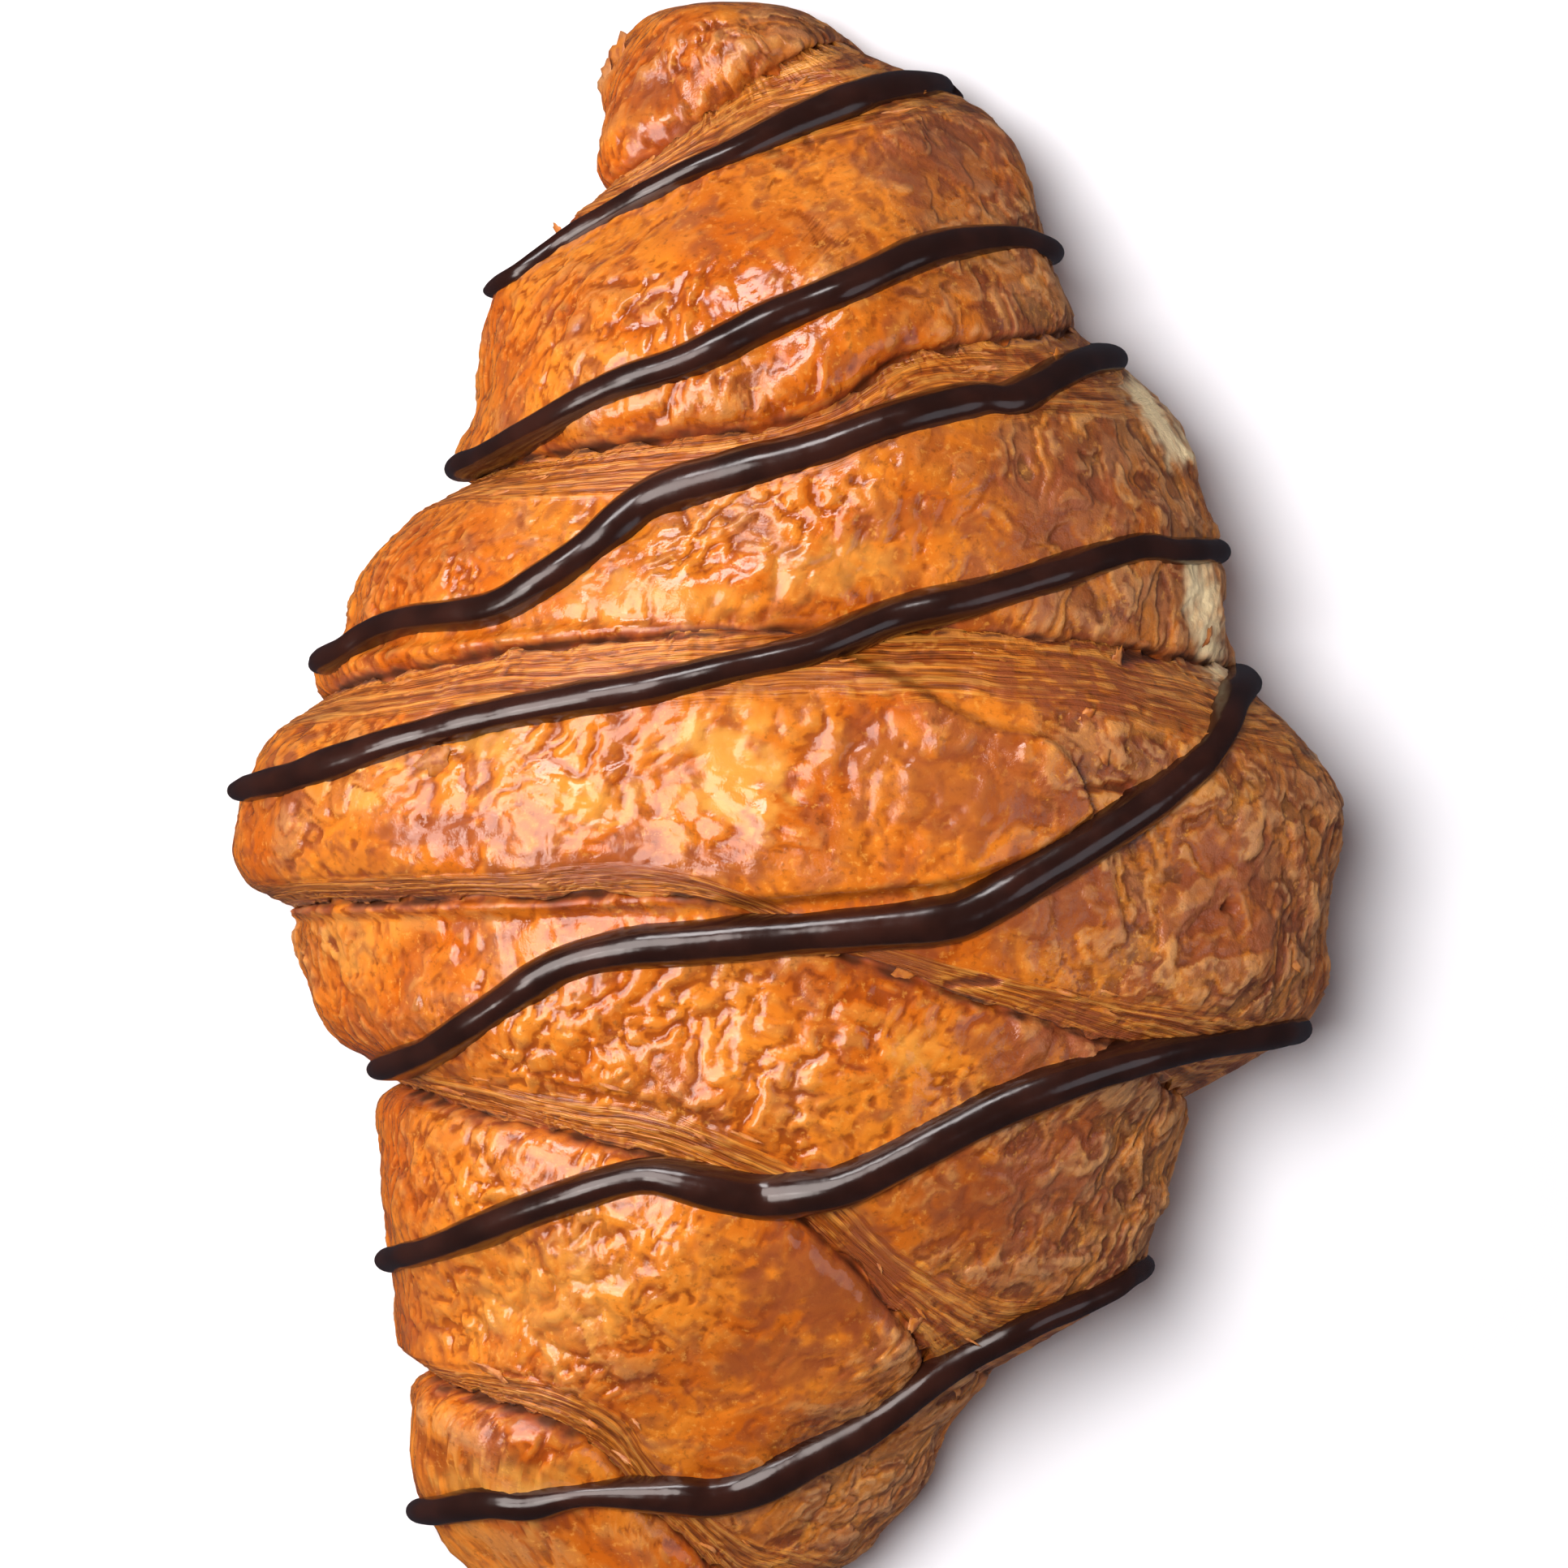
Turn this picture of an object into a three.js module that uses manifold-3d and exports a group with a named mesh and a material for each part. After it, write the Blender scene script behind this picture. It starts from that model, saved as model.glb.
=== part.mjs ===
// A baked croissant of rolled, layered dough with seven lines of dark chocolate set across it.
// Millimetres. +Y runs along the roll to its upper end, +X points to the side that it bows out to, +Z is up.
// The origin is the middle of the ground that it covers, on the surface that it rests on.
// Angles run round the roll from the right side (0) over the ridge (90) to the left side (180) and under (270).

import * as THREE from 'three';
import { mergeVertices } from 'three/addons/utils/BufferGeometryUtils.js';
import Module from 'manifold-3d';

// Overall form of the roll
const HALF_LENGTH = 75;
const END_ROUNDING = 8;
const END_POWER = 3;
const WAIST_SHARE = 0.4;
const UPPER_POWER = 2.2;
const LOWER_POWER = 2.6;
const BASE_SINK = 1.5;

// Side edges seen from above, as [y, x], and the height of the ridge, as [y, z]
const LEFT_EDGE = [
  [-75, -15], [-69.3, -21.6], [-63.7, -28], [-58.5, -33], [-48.5, -33.6], [-42.8, -34.2], [-31.3, -35.8],
  [-25.6, -35.8], [-19.2, -38], [-15.6, -40.9], [-10.6, -41.8], [-6.3, -43.2], [-0.5, -47.7], [3, -47.5],
  [9.1, -44.4], [13.1, -40.8], [18.1, -39.4], [24.5, -37.2], [30.3, -31.6], [36, -28.8], [43.9, -26.8],
  [49.6, -25.1], [54.6, -19.8], [60.3, -17.2], [66.1, -16.6], [75, -14.4],
];
const RIGHT_EDGE = [
  [-75, -8], [-69.3, -1], [-63.7, 5.6], [-56.7, 11.4], [-51.4, 14], [-47, 18.6], [-43, 25], [-39, 29.6],
  [-33, 31.8], [-27, 33.8], [-22.7, 35.8], [-19, 40.8], [-15, 45.6], [-7.7, 47.8], [-2.7, 48.2], [4.5, 48],
  [9.5, 45.8], [13.8, 42.4], [17, 39.4], [24.5, 37.6], [30.3, 36.4], [36.7, 33.9], [41.3, 30.6],
  [46, 26.4], [54, 22.8], [60, 20.6], [64.3, 18], [68.3, 12.2], [71.5, 6.6], [75, 4],
];
const RIDGE = [
  [-75, 21], [-66, 25.5], [-58, 31], [-50, 38], [-36, 47], [-15, 54.5], [3, 56.2], [24, 53.5], [38, 49.5],
  [51, 43], [60, 33.5], [67, 26], [75, 22],
];
const UNDERSIDE = [[-75, 6], [-66, 1.4], [-54, -BASE_SINK], [50, -BASE_SINK], [63, 1], [75, 6]];

// Creases between the seven turns of the roll. line gives [angle, y] round the roll. toCentre tells which way
// the overlapping turn lies. slope is the width of its cut, layered edge. depth is how deep the crease is.
const CREASES = [
  {
    toCentre: -1,
    line: [
      [0, 71.2], [30, 70.9], [60, 70.2], [90, 68.1], [120, 64.3], [150, 59.6], [180, 57.6], [270, 64.6],
    ],
    depth: { right: 1.6, top: 3, left: 2 },
    slope: { right: 6, top: 6.5, left: 2.5 },
  },
  {
    toCentre: -1,
    line: [
      [0, 45.6], [30, 44.7], [60, 43.3], [75, 42.1], [90, 37.6], [120, 35.1], [150, 33.7], [180, 31.9],
      [270, 38.8],
    ],
    depth: { right: 1.3, top: 3.4, left: 3.2 },
    slope: { right: 8.5, top: 5, left: 3 },
  },
  {
    toCentre: -1,
    line: [
      [0, 15.4], [30, 16.5], [60, 18.2], [90, 18.6], [120, 17.2], [150, 14.9], [180, 13.1], [270, 14.1],
    ],
    depth: { right: 1.8, top: 2, left: 2 },
    slope: { right: 9.5, top: 5.5, left: 3.5 },
  },
  {
    toCentre: 1,
    line: [
      [0, -22], [30, -20.2], [47, -17.7], [60, -15.7], [80, -11.6], [90, -8.6], [98, -4.9], [120, -4.4],
      [150, -4.7], [180, -5.5], [270, -13.4],
    ],
    depth: { right: 2, top: 1.6, left: 2.7 },
    slope: { right: 6.5, top: 2.6, left: 2 },
  },
  {
    toCentre: 1,
    line: [
      [0, -46.4], [30, -45.6], [47, -45.1], [56, -43.4], [70, -39.6], [80, -35], [88, -31.3], [100, -27.9],
      [120, -25.1], [150, -22.2], [180, -20.9], [270, -32.8],
    ],
    depth: { right: 1.3, top: 3, left: 3 },
    slope: { right: 8, top: 5.5, left: 3.5 },
  },
  {
    toCentre: 1,
    line: [
      [0, -67.5], [45, -66.4], [75, -63.5], [90, -58.5], [100, -54], [115, -50.7], [130, -49], [150, -47.9],
      [180, -46.2], [270, -57.8],
    ],
    depth: { right: 1.3, top: 2.5, left: 3 },
    slope: { right: 5, top: 4.5, left: 2 },
  },
];
const LIP_DROP = 0.9;
const LIP_OVERHANG = 0.5;
const BASE_STEP = 0.4;
const DIVE_TOP = 4.5;
const DIVE_SIDE = 3;
const SLOPE_POWER = 1.15;
const BAND_LIMIT = 0.42;
const UNDER_SHARE = 0.3;

// Tongue in which the roll ends, lying on the widest turn. Its two edges give y against x. Underneath it thins out
// until the sine of the angle round the roll is minus TONGUE_END.
const TONGUE_THICKNESS = 1.8;
const TONGUE_END = 0.6;
const TONGUE_BEVEL = 1.3;
const TONGUE_UPPER = [[-50, 17], [10, 15], [16.4, 11.4], [22.8, 9.1], [24.4, 7], [25.6, 4.5], [26.2, 2.3], [30, 2.3]];
const TONGUE_LOWER = [[-50, -7], [-5, -5.4], [8, -4.4], [15, -3.4], [22.8, -0.2], [26.2, 2.3], [30, 2.4]];

// Slow unevenness of the crust: height, waves round the roll, waves per mm along it, phase
const LUMPS = [
  { height: 0.35, round: 5, along: 0.21, phase: 0.6 },
  { height: 0.3, round: 3, along: -0.33, phase: 2.1 },
  { height: 0.25, round: 8, along: 0.12, phase: 4 },
];

// Chocolate lines: path gives [x, y] seen from above, left to right, and width the widths along it
const CHOCOLATE_HEIGHT = 1.5;
const CHOCOLATE_KEEL = 2.8;
const CHOCOLATE_HANG = 13;
const CHOCOLATE_LINES = [
  {
    path: [
      [-26.1, 48.9], [-19.4, 53.7], [-12.1, 57.6], [-5.1, 60.7], [2, 63.9], [9.2, 66.5], [14.5, 67.3],
      [16.2, 66.4],
    ],
    width: [1.6, 1.9, 2, 2.6, 3.1, 2.7, 2.2, 1.8],
  },
  {
    path: [
      [-28.9, 33.1], [-23, 36.3], [-15.9, 39.9], [-8.7, 42.3], [-1.5, 45.8], [5.6, 48.7], [12.8, 51.9],
      [19.9, 53.2], [24.4, 52.3],
    ],
    width: [1.9, 2.1, 2.5, 2.9, 3, 2.8, 2.7, 2.3, 1.9],
  },
  {
    path: [
      [-40.8, 15.9], [-37.3, 18.4], [-33.8, 19.7], [-26.6, 20.6], [-22, 22.8], [-17, 26.3], [-12.3, 30.1],
      [-5.1, 32.3], [2, 34.2], [9.2, 36.8], [16.4, 38.6], [20, 38.8], [25.3, 41.7], [30.2, 43.4],
    ],
    width: [2, 2.3, 2.4, 2.6, 2.9, 3.3, 3.6, 3.6, 3.3, 3.1, 3.1, 2.9, 2.4, 2.2],
  },
  {
    path: [
      [-47.7, 4.8], [-40.9, 6.9], [-33.8, 9.3], [-26.6, 11.2], [-19.4, 12.6], [-12.3, 13.8], [-5.1, 15.5],
      [2, 17.1], [9.2, 19.9], [16.4, 21.6], [23.5, 23.7], [30.7, 26], [34.3, 25.8], [38.4, 26],
    ],
    width: [2, 2.9, 2.4, 2.6, 2.6, 2.7, 2.4, 2.5, 2.8, 2.9, 2.6, 2.3, 2.1, 2],
  },
  {
    path: [
      [-35.3, -19.7], [-29.5, -16.3], [-22.3, -11.5], [-18.7, -9.7], [-13.7, -8.6], [-8.7, -8.2], [-1.5, -7.6],
      [5.6, -7], [12.8, -6.3], [16.4, -5.2], [23.5, -1.2], [30.7, 3.2], [34.3, 5.8], [37.5, 8.8], [39.3, 12.3],
      [41.2, 15.8],
    ],
    width: [2.1, 2.4, 2.9, 3, 3.2, 3.3, 3.4, 3.5, 3.6, 3.7, 3.6, 3.2, 2.9, 2.4, 2.1, 1.8],
  },
  {
    path: [
      [-37, -37], [-29.7, -34.3], [-23, -31.5], [-15.4, -29], [-12.1, -28.5], [-9.6, -28.9], [-6.5, -29.6],
      [-3, -30.1], [0.6, -29.9], [5.6, -28.9], [13.1, -25.2], [20.4, -21.7], [27.7, -19.2], [35.1, -17.3],
      [42.3, -16.3], [46.4, -16],
    ],
    width: [1.7, 2.3, 2.6, 2.7, 2.8, 3.1, 3.4, 3.6, 3.6, 3.4, 3.3, 3.4, 3.1, 2.8, 2.5, 2.2],
  },
  {
    path: [
      [-33.3, -59.1], [-27.2, -57.6], [-23, -57.6], [-17.9, -56.8], [-10.2, -56.7], [-6.6, -56.8], [-2.9, -55.9],
      [3.8, -52.6], [8.6, -49.8], [13.1, -46.4], [20.4, -42.1], [27.7, -39.1], [31.6, -36.8],
    ],
    width: [1.9, 2.7, 2.7, 1.9, 3.3, 3.5, 3.6, 3.6, 3.4, 3, 2.7, 2.4, 2],
  },
];

// Fineness of the facets
const COLUMNS = 44;
const CREST_ROWS = 3;
const SLOPE_STEPS = [0, 0.45, 1];
const DIVE_STEPS = [0, 0.1, 0.35, 1];
const END_STEPS = [0.25, 0.45, 0.62, 0.76, 0.87, 0.95, 0.99];
const CHOCOLATE_STATIONS = 27;
const CHOCOLATE_SIDES = 8;

const CRUST_COLOUR = 0xc4702c;

const rad = THREE.MathUtils.degToRad;
const clamp = THREE.MathUtils.clamp;
const smoothstep = THREE.MathUtils.smoothstep;
const lerp = THREE.MathUtils.lerp;

// A smooth curve through [t, value] pairs in rising t, level beyond its ends
function smoothCurve(points) {
  const rise = [];
  for (let i = 0; i + 1 < points.length; i += 1) {
    rise.push((points[i + 1][1] - points[i][1]) / (points[i + 1][0] - points[i][0]));
  }
  const tangent = points.map((point, i) => {
    if (i === 0) return rise[0];
    if (i === rise.length) return rise[rise.length - 1];
    const before = point[0] - points[i - 1][0];
    const after = points[i + 1][0] - point[0];
    return (rise[i - 1] * after + rise[i] * before) / (before + after);
  });
  return (t) => {
    if (t <= points[0][0]) return points[0][1];
    if (t >= points[points.length - 1][0]) return points[points.length - 1][1];
    let i = 0;
    while (t > points[i + 1][0]) i += 1;
    const span = points[i + 1][0] - points[i][0];
    const u = (t - points[i][0]) / span;
    const blend = u * u * (3 - 2 * u);
    const leave = tangent[i] * span * u * (1 - u) ** 2;
    const arrive = tangent[i + 1] * span * u * u * (u - 1);
    return lerp(points[i][1], points[i + 1][1], blend) + leave + arrive;
  };
}

const leftEdge = smoothCurve(LEFT_EDGE);
const rightEdge = smoothCurve(RIGHT_EDGE);
const ridge = smoothCurve(RIDGE);
const underside = smoothCurve(UNDERSIDE);
const tongueUpper = smoothCurve(TONGUE_UPPER);
const tongueLower = smoothCurve(TONGUE_LOWER);
const creaseLines = CREASES.map(({ line }) => {
  const under = line[line.length - 1];
  return smoothCurve([[under[0] - 360, under[1]], ...line]);
});

// The plain cross-section of the roll at y, shrinking to a point at both ends
function section(y) {
  const q = clamp((Math.abs(y) - HALF_LENGTH + END_ROUNDING) / END_ROUNDING, 0, 1);
  const closing = (1 - q ** END_POWER) ** (1 / END_POWER);
  const waist = WAIST_SHARE * ridge(y);
  return {
    middle: (leftEdge(y) + rightEdge(y)) / 2,
    halfWidth: ((rightEdge(y) - leftEdge(y)) / 2) * closing,
    waist,
    rise: (ridge(y) - waist) * closing,
    drop: (waist - underside(y)) * closing,
  };
}

function power(value, exponent) {
  return Math.sign(value) * Math.abs(value) ** exponent;
}

// Value at an angle from values given for the right side, the ridge and the left side, less underneath
function aroundRoll(angle, { right, top, left }) {
  const up = Math.sin(rad(angle));
  const across = Math.cos(rad(angle));
  const side = lerp(left, right, smoothstep(across, -0.6, 0.6));
  if (up > 0) return lerp(side, top, up ** 2);
  return lerp(side, side * UNDER_SHARE, up ** 2);
}

// The six creases, the widths beside them and their depths at an angle, from the upper end to the lower
function creasesAt(angle) {
  const wrapped = angle > 270 ? angle - 360 : angle;
  const y = creaseLines.map((line) => line(wrapped));
  const limits = [HALF_LENGTH, ...y, -HALF_LENGTH];
  const dive = { right: DIVE_SIDE, top: DIVE_TOP, left: DIVE_SIDE };
  return CREASES.map((crease, i) => {
    const above = BAND_LIMIT * (limits[i] - limits[i + 1]);
    const below = BAND_LIMIT * (limits[i + 1] - limits[i + 2]);
    const inner = crease.toCentre > 0 ? above : below;
    const outer = crease.toCentre > 0 ? below : above;
    return {
      y: y[i],
      toCentre: crease.toCentre,
      depth: aroundRoll(wrapped, crease.depth),
      slope: Math.min(aroundRoll(wrapped, crease.slope), inner),
      dive: Math.min(aroundRoll(wrapped, dive), outer),
    };
  });
}

// How far the crust lies out from the plain section. side picks one bank of crease number at where they meet.
function relief(angle, y, x, at = -1, side = 0) {
  let out = 0;
  creasesAt(angle).forEach((crease, i) => {
    const t = (y - crease.y) * crease.toCentre;
    const inner = i === at ? side > 0 : t >= 0;
    const reach = i === at ? Math.max(0, side * t) : Math.abs(t);
    if (inner && reach < crease.slope) {
      out -= crease.depth * (1 - reach / crease.slope) ** SLOPE_POWER;
    }
    if (!inner && reach < crease.dive) {
      const u = 1 - reach / crease.dive;
      out -= (crease.depth + LIP_DROP) * (1 - Math.sqrt(1 - u * u));
    }
  });
  const inside = Math.min(tongueUpper(x) - y, y - tongueLower(x));
  const over = smoothstep(Math.sin(rad(angle)), -TONGUE_END, 0);
  out += over * TONGUE_THICKNESS * smoothstep(inside, 0, TONGUE_BEVEL);
  for (const { height, round, along, phase } of LUMPS) {
    out += height * Math.sin(round * rad(angle) + along * y + phase);
  }
  return out;
}

// Point on the crust, and the direction out of it
function crustPoint(angle, y, at, side) {
  const { middle, halfWidth, waist, rise, drop } = section(y);
  const across = Math.cos(rad(angle));
  const up = Math.sin(rad(angle));
  const exponent = 2 / (up > 0 ? UPPER_POWER : LOWER_POWER);
  const half = up > 0 ? rise : drop;
  const x = middle + halfWidth * power(across, exponent);
  const z = waist + half * power(up, exponent);
  const out = new THREE.Vector3(across / Math.max(halfWidth, 1), 0, up / Math.max(half, 1)).normalize();
  const fade = Math.min(1, halfWidth / END_ROUNDING);
  const point = new THREE.Vector3(x, y, z).addScaledVector(out, relief(angle, y, x, at, side) * fade);
  point.z = Math.max(0, point.z);
  return { point, out };
}

// Rows of the crust mesh as functions from an angle to { y, at, side }, from the upper end to the lower
function crustRows() {
  const rows = [];
  const shift = (angle) => lerp(-BASE_STEP, LIP_OVERHANG, smoothstep(Math.sin(rad(angle)), -0.15, 0.35));
  const bank = (i, side, steps, order) => {
    for (const step of order > 0 ? steps : [...steps].reverse()) {
      rows.push((angle) => {
        const crease = creasesAt(angle)[i];
        if (side > 0) return { y: crease.y + crease.toCentre * step * crease.slope, at: i, side };
        const tuck = step === 0 ? shift(angle) : 0;
        return { y: crease.y + crease.toCentre * (tuck - step * crease.dive), at: i, side };
      });
    }
  };
  for (const step of [...END_STEPS].reverse()) {
    rows.push((angle) => {
      const crease = creasesAt(angle)[0];
      return { y: lerp(crease.y + crease.dive, HALF_LENGTH, step) };
    });
  }
  for (let i = 0; i < CREASES.length; i += 1) {
    const above = -CREASES[i].toCentre < 0 ? 1 : -1;
    bank(i, above, above > 0 ? SLOPE_STEPS : DIVE_STEPS, -1);
    bank(i, -above, above > 0 ? DIVE_STEPS : SLOPE_STEPS, 1);
    if (i + 1 === CREASES.length) continue;
    for (let k = 1; k <= CREST_ROWS; k += 1) {
      rows.push((angle) => {
        const creases = creasesAt(angle);
        const from = creases[i].y - (above > 0 ? creases[i].dive : creases[i].slope);
        const nextInner = CREASES[i + 1].toCentre > 0;
        const to = creases[i + 1].y + (nextInner ? creases[i + 1].slope : creases[i + 1].dive);
        return { y: lerp(from, to, k / (CREST_ROWS + 1)) };
      });
    }
  }
  for (const step of END_STEPS) {
    rows.push((angle) => {
      const crease = creasesAt(angle)[CREASES.length - 1];
      return { y: lerp(crease.y - crease.dive, -HALF_LENGTH, step) };
    });
  }
  return rows;
}

// Closed geometry from rings of points with a point at each end
function ringsToGeometry(first, rings, last) {
  const columns = rings[0].length;
  const points = [first, ...rings.flat(), last];
  const faces = [];
  const id = (ring, column) => 1 + ring * columns + (column % columns);
  for (let c = 0; c < columns; c += 1) {
    faces.push(0, id(0, c + 1), id(0, c));
    for (let r = 0; r + 1 < rings.length; r += 1) {
      faces.push(id(r, c), id(r, c + 1), id(r + 1, c));
      faces.push(id(r, c + 1), id(r + 1, c + 1), id(r + 1, c));
    }
    faces.push(points.length - 1, id(rings.length - 1, c), id(rings.length - 1, c + 1));
  }
  const geometry = new THREE.BufferGeometry().setFromPoints(points);
  geometry.setIndex(faces);
  return geometry;
}

function crustGeometry() {
  const rings = crustRows().map((row) => {
    const ring = [];
    for (let c = 0; c < COLUMNS; c += 1) {
      const angle = (360 * c) / COLUMNS;
      const { y, at, side } = row(angle);
      ring.push(crustPoint(angle, y, at, side).point);
    }
    return ring;
  });
  const tip = (y) => new THREE.Vector3(section(y).middle, y, section(y).waist);
  return ringsToGeometry(tip(HALF_LENGTH), rings, tip(-HALF_LENGTH));
}

// Angle at which a point seen from above lies on the roll
function angleOf(x, y) {
  const { middle, halfWidth } = section(y);
  const across = clamp((x - middle) / halfWidth, -1, 1);
  return THREE.MathUtils.radToDeg(Math.acos(power(across, UPPER_POWER / 2)));
}

// Smooth curve through values given at even steps from 0 to 1
function evenCurve(values) {
  return smoothCurve(values.map((value, i) => [i / (values.length - 1), value]));
}

// One line of chocolate, lying on the crust with its underside sunk into it and its ends over the sides
function chocolateGeometry({ path, width }) {
  const angles = path.map(([x, y]) => angleOf(x, y));
  angles[0] += CHOCOLATE_HANG;
  angles[angles.length - 1] -= CHOCOLATE_HANG;
  const angleAt = evenCurve(angles);
  const yAt = evenCurve(path.map(([, y]) => y));
  const widthAt = evenCurve(width);
  const stations = [];
  for (let i = 0; i < CHOCOLATE_STATIONS; i += 1) {
    const s = i / (CHOCOLATE_STATIONS - 1);
    const { point, out } = crustPoint((angleAt(s) + 360) % 360, yAt(s));
    stations.push({ point, out, s });
  }
  const rings = stations.map(({ point, out, s }, i) => {
    const before = stations[Math.max(0, i - 1)].point;
    const after = stations[Math.min(stations.length - 1, i + 1)].point;
    const along = after.clone().sub(before).normalize();
    const across = new THREE.Vector3().crossVectors(along, out).normalize();
    const up = new THREE.Vector3().crossVectors(across, along);
    const ring = [];
    for (let k = 0; k < CHOCOLATE_SIDES; k += 1) {
      const turn = (2 * Math.PI * k) / CHOCOLATE_SIDES;
      const lift = Math.sin(turn) * (Math.sin(turn) > 0 ? CHOCOLATE_HEIGHT : CHOCOLATE_KEEL);
      ring.push(
        point.clone()
          .addScaledVector(across, -Math.cos(turn) * widthAt(s) / 2)
          .addScaledVector(up, lift),
      );
    }
    return ring;
  });
  const end = (i, j) => stations[i].point.clone().lerp(stations[j].point, -0.35);
  return ringsToGeometry(end(0, 1), rings, end(stations.length - 1, stations.length - 2));
}

const wasm = await Module();
wasm.setup();

function toSolid(geometry) {
  const merged = mergeVertices(geometry, 1e-4);
  const mesh = new wasm.Mesh({
    numProp: 3,
    vertProperties: Float32Array.from(merged.attributes.position.array),
    triVerts: Uint32Array.from(merged.index.array),
  });
  return new wasm.Manifold(mesh);
}

let solid = toSolid(crustGeometry());
for (const line of CHOCOLATE_LINES) solid = solid.add(toSolid(chocolateGeometry(line)));

// Scraps thinner than a crumb are left off
const [whole] = solid.decompose().sort((a, b) => b.volume() - a.volume());
const joined = whole.getMesh();
const geometry = new THREE.BufferGeometry();
geometry.setAttribute('position', new THREE.BufferAttribute(joined.vertProperties, 3));
geometry.setIndex(new THREE.BufferAttribute(joined.triVerts, 1));

const crust = new THREE.MeshStandardMaterial({ color: CRUST_COLOUR, roughness: 0.45, metalness: 0 });
const croissant = new THREE.Mesh(geometry, crust);
croissant.name = 'croissant';

const group = new THREE.Group();
group.add(croissant);

export default group;
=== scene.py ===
"""A baked croissant with lines of dark chocolate across it, seen from above on a white surface.

Lengths in the constants are millimetres. +Y runs along the roll, +X to the side that it bows out to, +Z is up.
Angles run round the roll from the right side (0) over the ridge (90) to the left side (180) and under (270).
"""

import itertools

import bpy
import numpy as np
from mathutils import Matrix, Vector


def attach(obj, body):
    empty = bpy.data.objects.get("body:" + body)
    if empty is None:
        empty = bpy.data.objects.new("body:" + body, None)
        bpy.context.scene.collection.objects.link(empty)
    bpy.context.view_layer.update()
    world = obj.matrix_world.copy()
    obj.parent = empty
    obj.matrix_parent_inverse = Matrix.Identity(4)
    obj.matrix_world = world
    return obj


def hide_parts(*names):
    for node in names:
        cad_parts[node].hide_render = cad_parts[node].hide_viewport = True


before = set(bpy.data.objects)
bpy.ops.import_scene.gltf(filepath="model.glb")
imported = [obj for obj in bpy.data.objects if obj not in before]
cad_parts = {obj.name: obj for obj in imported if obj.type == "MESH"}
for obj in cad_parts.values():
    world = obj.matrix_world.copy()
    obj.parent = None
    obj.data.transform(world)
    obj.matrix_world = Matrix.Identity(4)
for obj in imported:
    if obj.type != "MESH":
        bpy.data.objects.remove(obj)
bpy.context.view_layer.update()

MM = 0.001

# Overall form of the roll
HALF_LENGTH = 75
END_ROUNDING = 8
END_POWER = 3
WAIST_SHARE = 0.4
UPPER_POWER = 2.2
LOWER_POWER = 2.6
BASE_SINK = 1.5

# Side edges seen from above, as (y, x), and the height of the ridge, as (y, z)
LEFT_EDGE = [
    (-75, -15), (-69.3, -21.6), (-63.7, -28), (-58.5, -33), (-48.5, -33.6), (-42.8, -34.2), (-31.3, -35.8),
    (-25.6, -35.8), (-19.2, -38), (-15.6, -40.9), (-10.6, -41.8), (-6.3, -43.2), (-0.5, -47.7), (3, -47.5),
    (9.1, -44.4), (13.1, -40.8), (18.1, -39.4), (24.5, -37.2), (30.3, -31.6), (36, -28.8), (43.9, -26.8),
    (49.6, -25.1), (54.6, -19.8), (60.3, -17.2), (66.1, -16.6), (75, -14.4),
]
RIGHT_EDGE = [
    (-75, -8), (-69.3, -1), (-63.7, 5.6), (-56.7, 11.4), (-51.4, 14), (-47, 18.6), (-43, 25), (-39, 29.6),
    (-33, 31.8), (-27, 33.8), (-22.7, 35.8), (-19, 40.8), (-15, 45.6), (-7.7, 47.8), (-2.7, 48.2), (4.5, 48),
    (9.5, 45.8), (13.8, 42.4), (17, 39.4), (24.5, 37.6), (30.3, 36.4), (36.7, 33.9), (41.3, 30.6),
    (46, 26.4), (54, 22.8), (60, 20.6), (64.3, 18), (68.3, 12.2), (71.5, 6.6), (75, 4),
]
RIDGE = [
    (-75, 21), (-66, 25.5), (-58, 31), (-50, 38), (-36, 47), (-15, 54.5), (3, 56.2), (24, 53.5), (38, 49.5),
    (51, 43), (60, 33.5), (67, 26), (75, 22),
]
UNDERSIDE = [(-75, 6), (-66, 1.4), (-54, -BASE_SINK), (50, -BASE_SINK), (63, 1), (75, 6)]

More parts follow.
